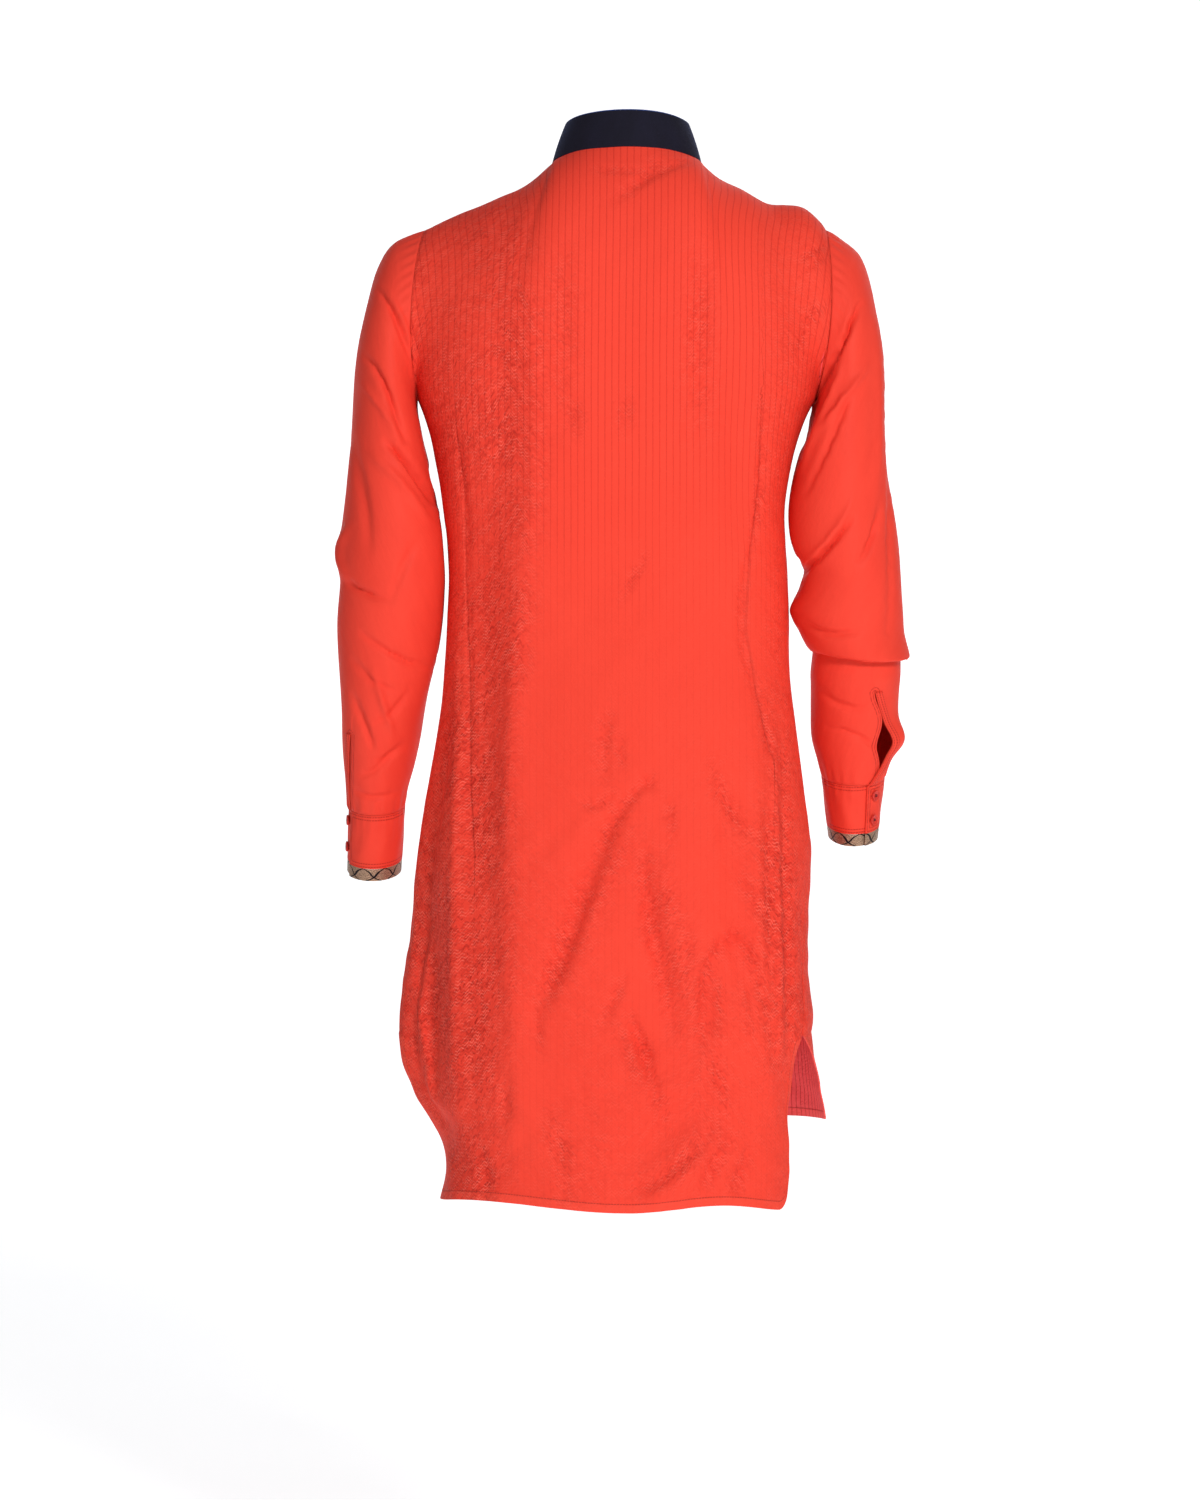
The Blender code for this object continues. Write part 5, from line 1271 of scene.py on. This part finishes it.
def rounded_hem(u, v, panel):
    """Moves the rows of the tail up near the slits, so that the hem's corners are round."""
    moved = v.copy()
    tail = np.clip(v - 1.0, 0.0, 1.0)
    for side, radius in HEM_CORNERS[panel].items():
        inside = np.clip(radius - (1 - SIGN[side] * u) * HALF_HEMS[panel], 0.0, radius)
        lift = radius - np.sqrt(radius**2 - inside**2)
        moved = moved - tail * lift / (hem_drop(u, panel) - SLIT_DROP)
    return moved


def fine_panel(panel):
    """The outer and inner skins of the back or the front, and its marks."""
    cap = -np.linspace(1.0, 0.0, CAP_FINE + 1)
    seam = np.linspace(0.0, 1.0, SEAM_FINE + 1)[1:]
    tail = np.linspace(1.0, 2.0, TAIL_FINE + 1)[1:]
    u, v = np.meshgrid(fine_columns(panel), np.concatenate([cap, seam, tail]))
    v = rounded_hem(u, v, panel)
    plain = plain_point(u, v, panel)
    place = side_edge(shoulder_swell(body_point(u, v, panel)))
    normal = grid_normals(place, place - body_axis(place), False)
    marks = panel_marks(u, v, plain, place)
    off_seams = ease(marks["seam"] / 0.010)
    if panel == "front":
        beside_strip = ease((np.abs(place[..., 0]) - 0.012) / 0.012)
        below_strip = ease((-place[..., 2] - OPENING_BOTTOM_DROP - 0.02) / 0.04)
        off_seams = off_seams * np.maximum(beside_strip, below_strip)
    creases, near_one = crease_height(place, BACK_CREASES if panel == "back" else FRONT_CREASES, BODY_CREASES)
    # This share of crinkles also paints shade along the creases and at the sides.
    marks["crinkle_and_shade"] = crinkle_and_shade_map(place, near_one)
    swell = creases + gentle_waves(place, panel)
    turned = HEM_LAYER * ease((HEM_WIDTH + 0.004 - np.minimum(marks["hem"], marks["slit"])) / 0.004)
    outer = place + normal * (swell * off_seams + turned)[..., None]
    on_shoulder = np.abs(u[0]) > NECK_SHARE + 1e-9
    outer[0, on_shoulder, 1] += (1.0 if panel == "back" else -1.0) * SEAM_GAP / 2
    return outer, outer - normal * (CLOTH + turned)[..., None], marks


def side_edge(place):
    """Moves the sharp edge of the fold down the left side outwards, and its foot further, so that it slopes."""
    x, y, drop = place[..., 0], place[..., 1], -place[..., 2]
    within = x.max(axis=1, keepdims=True) - 0.015 - x
    moved = SIDE_EDGE["shift"] * ease((x - SIDE_EDGE["x"]) / 0.02)
    moved = moved + SIDE_EDGE["foot"] * ease((0.075 - y) / 0.035)
    down = ease((drop - SIDE_EDGE["top"]) / 0.12) * (1 - ease((drop - SIDE_EDGE["bottom"]) / 0.05))
    shifted = place.copy()
    shifted[..., 0] += moved * down * ease(within / 0.028) * ease(y / 0.025) * ease((x - 0.15) / 0.01)
    return shifted


def shoulder_swell(place):
    """Lifts what lies at the right shoulder's end."""
    aside, below = place[..., 0] - SHOULDER_SWELL["x"], -place[..., 2] - SHOULDER_SWELL["drop"]
    away = np.hypot(aside, below) / SHOULDER_SWELL["reach"]
    lifted = place.copy()
    lifted[..., 2] += SHOULDER_SWELL["height"] * np.exp(-(away**2))
    return lifted


def crinkle_and_shade_map(place, near_one):
    """How much the silk crinkles and how much painted shade it gets: along the creases, at the sides and a
    little everywhere low on the body.
    """
    x, drop = place[..., 0], -place[..., 2]
    edge = 0.074 + 0.028 * ease((drop - 0.42) / 0.25)
    edge = edge + 0.007 * np.sin(61 * drop + 40 * x) * np.sin(23 * drop + 1.3)
    sides = ease((x - edge) / 0.045) * 0.85 + ease((-x - 0.12) / 0.05) * 0.45
    uneven = 0.5 + 0.5 * np.sin(34 * x + 2.0 * np.sin(9 * drop)) * np.sin(13 * drop + 17 * x)
    low = ease((drop - 0.55) / 0.25) * 0.25
    creased = near_one * np.where(x > 0.09, 0.2, 0.50)
    return np.clip(creased + sides * (0.45 + 0.55 * uneven) + low * uneven, 0.0, 1.0)


def gentle_waves(place, panel):
    """Low uneven swells that loose silk has everywhere."""
    x, drop = place[..., 0], -place[..., 2]
    shift = 0.0 if panel == "back" else 2.1
    swell = np.sin(46 * x + 3.1 * np.sin(7 * drop + shift) + shift) * np.sin(9.0 * drop + 11 * x + shift)
    fine = np.sin(118 * x + 17 * drop + 2.0 * np.sin(31 * drop + shift)) * np.sin(64 * drop - 23 * x + shift)
    low = ease((drop - 0.50) / 0.25)
    knots = np.sin(150 * x + 38 * drop + 2.4 * np.sin(43 * drop - 31 * x + shift))
    knots = knots * np.sin(88 * drop + 61 * x + shift)
    return 0.0008 * swell + 0.00035 * fine + 0.0007 * low * knots


def panel_marks(u, v, plain, place):
    """Where each point lies on the cut cloth, and how far from its seams, hem and slits."""
    rise = np.clip(-v, 0.0, 1.0)
    steps = np.diff(plain, axis=1)
    depth_share = 1 - ease((rise[:, 1:] - 0.35) / 0.45)
    across = running(np.sqrt(steps[..., 0] ** 2 + depth_share * steps[..., 1] ** 2).T).T
    middle = np.argmin(np.abs(u[0]))
    down = run_down(plain)
    whole = run_across(plain)
    to_side = np.minimum(whole, whole[:, -1:] - whole)
    from_top = np.where(np.abs(u) > NECK_SHARE, down, FAR)
    on_body = v <= 1.0
    return {
        "across": across - across[:, middle : middle + 1],
        "along": down,
        "seam": np.where(on_body, np.minimum(to_side, from_top), FAR),
        "slit": np.where(on_body, FAR, to_side),
        "hem": down[-1:] - down,
        "dart_left": line_distance(place, LEFT_DART),
        "dart_right": line_distance(place, RIGHT_DART),
    }


def build_panels(material):
    """The back, and the front with its opening."""
    pieces = {}
    for panel in ("back", "front"):
        outer, inner, marks = fine_panel(panel)
        cells = np.ones((outer.shape[0] - 1, outer.shape[1] - 1), bool)
        if panel == "front":
            middle = cells.shape[1] // 2
            cells[:, middle] = -outer[1:, middle, 2] > OPENING_BOTTOM_DROP
            marks["dart_left"] = marks["dart_left"] + 0.004
        pieces[panel] = cloth(panel + "_silk", outer, inner, marks, material, cells)
    return pieces


def front_place(offset, v):
    """A point and its normal on the front, at a distance to the side of its middle."""
    u = np.full_like(v, FRONT_STEP)
    step = body_point(u, v, "front") - body_point(np.zeros_like(v), v, "front")
    u = offset * FRONT_STEP / np.linalg.norm(step, axis=-1)
    return body_point(u, v, "front"), body_normal(u, v, "front")


def build_placket(material):
    """The two strips of the front opening."""
    layers = (
        ("placket_upper_silk", TOP_STRIP_HALF_WIDTH, 0.0003, TOP_STRIP_TAIL),
        ("placket_lower_silk", UNDER_STRIP_HALF_WIDTH, -0.0003 - 2 * CLOTH - STRIP_CLOTH, UNDER_STRIP_TAIL),
    )
    pieces = []
    for name, half_width, lift, below in layers:
        end = (OPENING_BOTTOM_DROP + below - ARMPIT_DROP) / (SLIT_DROP - ARMPIT_DROP)
        rows = np.concatenate([np.linspace(-0.985, 0.0, 50), np.linspace(0.0, end, 30)[1:]])
        offset, v = np.meshgrid(np.linspace(-half_width, half_width, 17), rows)
        place, normal = front_place(offset, v)
        puff = 0.0006 * (1 - (offset / half_width) ** 4)
        inner = place + normal * lift
        outer = inner + normal * (STRIP_CLOTH + puff)[..., None]
        marks = dict.fromkeys(("seam", "hem", "dart_left", "dart_right"), FAR)
        marks["across"] = offset + STRIPE_PITCH / 2
        marks["along"] = run_down(place)
        marks["slit"] = half_width - np.abs(offset) + HEM_WIDTH - 0.002
        # Some crinkles on the strips, with their painted shade.
        marks["crinkle_and_shade"] = 0.3
        pieces.append(cloth(name, outer, inner, marks, material))
    return pieces


def build_collar(material):
    """The velvet stand collar, with a rounded top edge."""
    half_turn = 180.0 - COLLAR_OPENING
    corner = np.linspace(0.0, 11.0, 9)
    middle = np.linspace(-half_turn + 14.0, half_turn - 14.0, 150)
    angle = np.concatenate([-half_turn + corner, middle, half_turn - corner[::-1]])
    edge_share = 0.0012 / COLLAR_HEIGHT
    rise = np.concatenate([np.linspace(0.0, 1 - edge_share, 20), 1 - edge_share * np.array(COLLAR_EDGE_ROWS)])
    angle, rise = np.meshgrid(angle, rise[::-1])
    turn = np.radians(angle)
    inward = -unit(points(np.sin(turn), np.cos(turn), 0.0))
    arc = np.radians(half_turn - np.abs(angle)) * NECK_HALF_WIDTH
    inside = np.clip(COLLAR_CORNER - arc, 0.0, COLLAR_CORNER)
    height = COLLAR_HEIGHT - (COLLAR_CORNER - np.sqrt(COLLAR_CORNER**2 - inside**2))
    lift = SEAM_GAP + rise * height + COLLAR_FRONT_RISE * rise * np.minimum(np.cos(turn), 0.0)
    lean = COLLAR_LEAN * (rise * 0.75 + rise**2 * 0.25) + 0.0006 * np.sin(5 * turn + 0.7) * rise
    centre = neck_point(angle) + points(0.0, 0.0, lift) + inward * lean[..., None]
    face = unit(-inward + points(0.0, 0.0, COLLAR_FACE_LIFT))
    centre = centre - face * COLLAR_WALL / 2
    into_edge = np.clip((rise - 1 + edge_share) / edge_share, 0.0, 1.0)
    thin = np.sqrt(np.clip(1 - into_edge**2, 0.0, 1.0)) * 0.96 + 0.04
    half = face * (COLLAR_WALL / 2 * thin)[..., None]
    marks = {"across": turn * NECK_HALF_WIDTH, "along": rise * COLLAR_HEIGHT, "top": (1 - rise) * height}
    return cloth("collar_velvet", centre + half, centre - half, marks, material)


def sleeve_folds(side, angle, column, row, place, length):
    """All that lies on a sleeve's plain form: creases on both faces, cap puckers and gathers at the cuff."""
    turn = np.radians(angle)
    last = last_ring(side)
    rows = LEFT_CREASES if side == "left" else RIGHT_CREASES
    behind, before = ease((np.sin(turn) + 0.30) / 0.55), ease((0.30 - np.sin(turn)) / 0.55)
    shifted = place + np.array([SIGN[side] * 0.006, 0.0, -0.012])
    height = crease_height(place, rows, SLEEVE_CREASES)[0] * behind
    height += crease_height(shifted, rows, SLEEVE_CREASES)[0] * before * 0.85
    to_cuff = length[-1:] - length
    gathers = np.cos(GATHERS * turn + 1.7 * np.sin(3 * turn)) * np.exp(-((to_cuff / GATHER_REACH) ** 2))
    uneven = 0.65 + 0.35 * np.sin(2 * turn + 0.8)
    height += GATHER_HEIGHT * gathers * uneven * ease(to_cuff / 0.004)
    over_top = ease((np.cos(turn) + 0.25) / 0.6)
    puckers = np.cos(CAP_PUCKERS * 3 * turn + 1.1 * np.sin(5 * turn))
    puckers = puckers * np.exp(-(((length - 0.008) / 0.010) ** 2))
    height += CAP_PUCKER_HEIGHT * puckers * over_top
    waves = np.sin(3 * turn + 16 * length + 0.6) * np.sin(31 * length + 2 * turn)
    height += 0.0013 * waves * ease(length / 0.05) * ease(to_cuff / 0.05)
    if side == "right":
        height += loose_edge(angle, place) * ease((row - RIGHT_SLIT_TOP_ROW) / 0.5)
        on_top = (column <= SLIT_COLUMN + 0.5) * ease((column - SLIT_COLUMN + 2.0) / 2.0)
        height += OVERLAP_LIFT * on_top * ease((row - last + 2.0) / 1.2)
    return height * ease(length / 0.004) * np.where(row > last - 0.01, 0.4, 1.0)


def fine_sleeve(side):
    """The outer points of a sleeve, their normals, their run down the sleeve and their angles."""
    last = last_ring(side)
    columns = np.arange(SLEEVE_SIDES * FINE_STEPS, dtype=float) / FINE_STEPS
    column, row = np.meshgrid(columns, np.linspace(0.0, last, last * FINE_ROWS + 1))
    angle = sleeve_angles(column, row, side)
    place = shoulder_swell(sleeve_point(angle, row, side))
    middle = sleeve_middle(row, side)
    normal = grid_normals(place, place - middle, True)
    length = run_down(place)
    place = place + normal * sleeve_folds(side, angle, column, row, place, length)[..., None]
    place[0, :, 0] += SIGN[side] * ARMHOLE_GAP
    return place, grid_normals(place, place - middle, True), length, angle


def build_sleeves(material):
    """Both sleeves with their slits, and the strip bound along each slit."""
    pieces = []
    for side in ("left", "right"):
        place, normal, length, angle = fine_sleeve(side)
        cells = np.ones((place.shape[0] - 1, place.shape[1]), bool)
        first, top = SLIT_COLUMN * FINE_STEPS, round(SLIT_START[side] * FINE_ROWS)
        cells[top:, first : first + FINE_STEPS] = False
        radius = 0.075 - 0.030 * length / length.max()
        marks = {
            "across": np.radians(angle) * radius,
            "along": length,
            "round": math.tau * radius,
            "seam": np.minimum(length, length[-1:] - length),
            "edge": slit_distance(place, first, top),
        }
        sleeve = cloth("sleeve_silk_" + side, place, place - normal * CLOTH, marks, material, cells, True)
        pieces.append((sleeve, "sleeve_" + side))
        strip = slit_binding(side, place[top:], normal[top:], length[top:], first, material)
        pieces.append((strip, "slit_strip_" + side))
    return pieces


def slit_binding(side, place, normal, length, first, material):
    """The strip bound along the back edge of a sleeve's slit."""
    share = SLIT_STRIP_WIDTH / np.linalg.norm(place[:, first - FINE_STEPS] - place[:, first], axis=1)
    across = np.linspace(0.0, 1.0, 7)
    column = first - across[None, :] * share[:, None] * FINE_STEPS
    under = np.array([row_at(ring_points, columns) for ring_points, columns in zip(place, column)])
    face = unit(np.array([row_at(ring_points, columns) for ring_points, columns in zip(normal, column)]))
    under = under + face * 0.0003
    puff = 0.0008 + 0.0005 * np.sin(math.pi * across)[None, :, None]
    marks = {
        "across": length[:, first][:, None],
        "along": across * SLIT_STRIP_WIDTH,
        "seam": FAR,
        "edge": np.minimum(across, 1 - across) * SLIT_STRIP_WIDTH + 0.0005,
    }
    return cloth("slit_binding_" + side, under + face * puff, under, marks, material)


def slit_distance(place, first, top):
    """How far each point lies from the nearer edge of the slit, along its ring or above the slit's top."""
    around = run_across(place)
    before = around[:, first : first + 1] - around
    after = around - around[:, first + FINE_STEPS : first + FINE_STEPS + 1]
    aside = np.maximum(np.maximum(before, after), 0.0)
    rows = np.arange(place.shape[0])[:, None]
    above = np.linalg.norm(place - place[top, first], axis=-1)
    return np.where(rows >= top, aside, above)


def row_at(ring_points, columns):
    """Points of one ring at columns that lie between its own."""
    low = np.floor(columns).astype(int)
    share = (columns - low)[:, None]
    return ring_points[low] * (1 - share) + ring_points[low + 1] * share


def fine_band(side, falls, extra):
    """A band round the wrist at the given falls: its outer points, their directions, angles and falls."""
    cuff = CUFF_TABLES[side]
    angle, fall = np.meshgrid(np.linspace(cuff["start"], cuff["end"], BAND_FINE + 1), falls)
    face = cuff_face(angle, fall, side)
    outer = cuff_point(angle, fall, side) + face * (extra - tuck_depth(angle, side))[..., None]
    outer[..., 2] -= CUFF_SEAM_GAP
    return outer, face, angle, fall


def build_cuffs(silk, brocade):
    """Each cuff and the ribbon below it."""
    pieces = []
    for side in ("left", "right"):
        height = CUFF_TABLES[side]["drop"] - SLEEVE_TABLES[side]["out_drop"][-1]
        outer, face, angle, fall = fine_band(side, np.linspace(0.0, 1.0, 19), 0.0)
        turn = np.radians(angle)
        ripple = 0.00045 * np.sin(9 * turn + 5 * fall) * np.sin(math.pi * fall)
        ripple = ripple + 0.0003 * np.sin(23 * turn) * (1 - fall) ** 3
        outer = outer + face * ripple[..., None]
        around = run_across(outer)
        to_end, to_edge = np.minimum(around, around[:, -1:] - around), np.minimum(fall, 1 - fall) * height
        edge = np.minimum(to_end, to_edge) + 0.0002
        marks = {"across": around, "along": fall * height, "seam": FAR, "edge": edge}
        band = cloth("cuff_silk_" + side, outer, outer - face * CUFF_CLOTH, marks, silk)
        pieces.append((band, "cuff_" + side))
        falls = 1 + np.linspace(SEAM_GAP, SEAM_GAP + TRIM_HEIGHT, 7) / height
        outer, face, angle, fall = fine_band(side, falls, -TRIM_INSET)
        below = (fall - 1) * height
        edge = np.minimum(below, TRIM_HEIGHT - below) + 0.0002
        marks = {"across": run_across(outer), "along": below, "edge": edge}
        trim = cloth("cuff_ribbon_" + side, outer, outer - face * TRIM_CLOTH, marks, brocade)
        pieces.append((trim, "cuff_trim_" + side))
    return pieces


def round_faces(rings, sides):
    """The faces of a closed row of rings, with a cap at both ends."""
    faces = [tuple(reversed(range(sides))), tuple(range((rings - 1) * sides, rings * sides))]
    for low in range(0, (rings - 1) * sides, sides):
        for step in range(sides):
            after = (step + 1) % sides
            faces.append((low + step, low + after, low + sides + after, low + sides + step))
    return faces


def build_button(name, seat, face, silk_button, thread):
    """A button with a raised rim, sewn on with two dark threads. The face is the way that it looks."""
    face = np.array(face) / np.linalg.norm(face)
    side_way = np.cross((0.0, 0.0, 1.0), face)
    side_way = side_way / np.linalg.norm(side_way)
    up_way = np.cross(face, side_way)
    half = BUTTON_THICKNESS / 2
    vertices = []
    for reach, height in BUTTON_ROWS:
        for turn in np.linspace(0.0, math.tau, BUTTON_FINE, endpoint=False):
            spot = (side_way * math.cos(turn) + up_way * math.sin(turn)) * reach * BUTTON_RADIUS
            vertices.append(tuple(seat + spot + face * height * half))
    faces = round_faces(len(BUTTON_ROWS), BUTTON_FINE)
    made = new_object(name, vertices, faces, silk_button, SHARP_BUTTON)
    stitches = []
    for number, offset in enumerate((-0.17, 0.17), 1):
        middle = seat + side_way * offset * BUTTON_RADIUS + face * half * 0.44
        stitches.append(thread_loop(f"{name}_thread_{number}", middle, up_way, face, thread))
    return made, stitches


def thread_loop(name, middle, along, face, material):
    """A short arched thread."""
    vertices = []
    across = np.cross(face, along)
    for t in np.linspace(-1.0, 1.0, THREAD_STEPS):
        centre = middle + along * BUTTON_RADIUS * 0.26 * t + face * 0.0006 * (1 - t * t)
        for turn in np.linspace(0.0, math.tau, THREAD_SIDES, endpoint=False):
            vertices.append(tuple(centre + (across * math.cos(turn) + face * math.sin(turn)) * THREAD_RADIUS))
    return new_object(name, vertices, round_faces(THREAD_STEPS, THREAD_SIDES), material)


def button_seats():
    """The name, middle and direction of each button: two on each cuff and four down the placket."""
    for side in ("left", "right"):
        for number, share in enumerate(CUFF_BUTTON_SHARES, 1):
            angle, fall = np.array([CUFF_TABLES[side]["button"]]), np.array([share])
            face = cuff_face(angle, fall, side)[0]
            above = LAYER_GAP + BUTTON_THICKNESS / 2 - tuck_depth(angle, side)[0]
            yield f"cuff_button_{side}_{number}", cuff_point(angle, fall, side)[0] + face * above, face
    for number, drop in enumerate(FRONT_BUTTON_DROPS, 1):
        top_v, low_v = (-1.0, 0.0) if drop < ARMPIT_DROP else (0.0, 0.5)
        options = np.linspace(top_v, low_v, BUTTON_SEARCH_STEPS)
        heights = body_point(np.zeros(BUTTON_SEARCH_STEPS), options, "front")[:, 2]
        u, v = np.zeros(1), options[[np.argmin(np.abs(heights + drop))]]
        face = body_normal(u, v, "front")[0]
        above = LAYER_GAP + STRIP_WALL + SEAM_GAP + BUTTON_THICKNESS / 2
        yield f"front_button_{number}", body_point(u, v, "front")[0] + face * above, face


def build_floor():
    """A pale floor that turns up into a plain wall."""
    profile = [(FLOOR_FRONT, -FLOOR_DROP)]
    for turn in np.linspace(0.0, math.pi / 2, FLOOR_STEPS):
        forward, up = WALL_BEND * math.sin(turn), WALL_BEND * (1 - math.cos(turn))
        profile.append((FLOOR_BACK - forward, up - FLOOR_DROP))
    profile.append((FLOOR_BACK - WALL_BEND, WALL_TOP))
    vertices = [(x, y, z) for y, z in profile for x in (-FLOOR_HALF_WIDTH, FLOOR_HALF_WIDTH)]
    faces = [(low, low + 1, low + 3, low + 2) for low in range(0, len(vertices) - 2, 2)]
    floor = new_object("floor", vertices, faces, floor_paint())


def build_stage():
    """The floor, the lamps and the soft light from all round."""
    build_floor()
    for name, place, size, power, colour in LAMPS:
        data = bpy.data.lights.new(name, "AREA")
        data.size = size
        data.energy = power
        data.color = colour
        lamp = bpy.data.objects.new(name, data)
        lamp.location = place
        aim = Vector(LAMP_TARGET) - Vector(place)
        lamp.rotation_euler = aim.to_track_quat("-Z", "Y").to_euler()
        bpy.context.scene.collection.objects.link(lamp)
    world = bpy.data.worlds.new("studio")
    world.use_nodes = True
    world.node_tree.nodes["Background"].inputs["Color"].default_value = WORLD_COLOUR
    world.node_tree.nodes["Background"].inputs["Strength"].default_value = WORLD_LIGHT
    bpy.context.scene.world = world
    bpy.context.scene.view_settings.view_transform = "Standard"


def build_camera():
    data = bpy.data.cameras.new("camera")
    data.lens = CAMERA_LENS
    camera = bpy.data.objects.new("camera", data)
    camera.location = CAMERA_PLACE
    camera.rotation_euler = (math.radians(90), 0.0, math.radians(180))
    bpy.context.scene.collection.objects.link(camera)
    bpy.context.scene.camera = camera


def declare(made, node, slot):
    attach(made, "root")
    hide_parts(node)


def main():
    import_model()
    silk, plain, velvet, brocade = striped_silk(), smooth_silk(), collar_velvet(), ribbon_brocade()
    button, thread = red_button(), dark_thread()
    panels = build_panels(silk)
    for panel, made in panels.items():
        declare(made, panel + "_panel", "body_silk")
    plackets = build_placket(silk)
    for made, node in zip(plackets, ("placket_top", "placket_under")):
        declare(made, node, "body_silk")
    collar = build_collar(velvet)
    declare(collar, "collar", "velvet")
    sleeves = build_sleeves(plain)
    for made, node in sleeves:
        declare(made, node, "plain_silk")
    bands = build_cuffs(plain, brocade)
    for made, node in bands:
        declare(made, node, "brocade" if "trim" in node else "plain_silk")
    for node, seat, face in button_seats():
        made, stitches = build_button("shown_" + node, seat, face, button, thread)
        declare(made, node, "button")
        for stitch in stitches:
            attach(stitch, "root")
    declare_sheets(bands)
    build_stage()
    build_camera()


def declare_sheets(bands):
    """Runs through the bands and changes nothing."""
    for made, node in bands:
        "trim" in node


main()
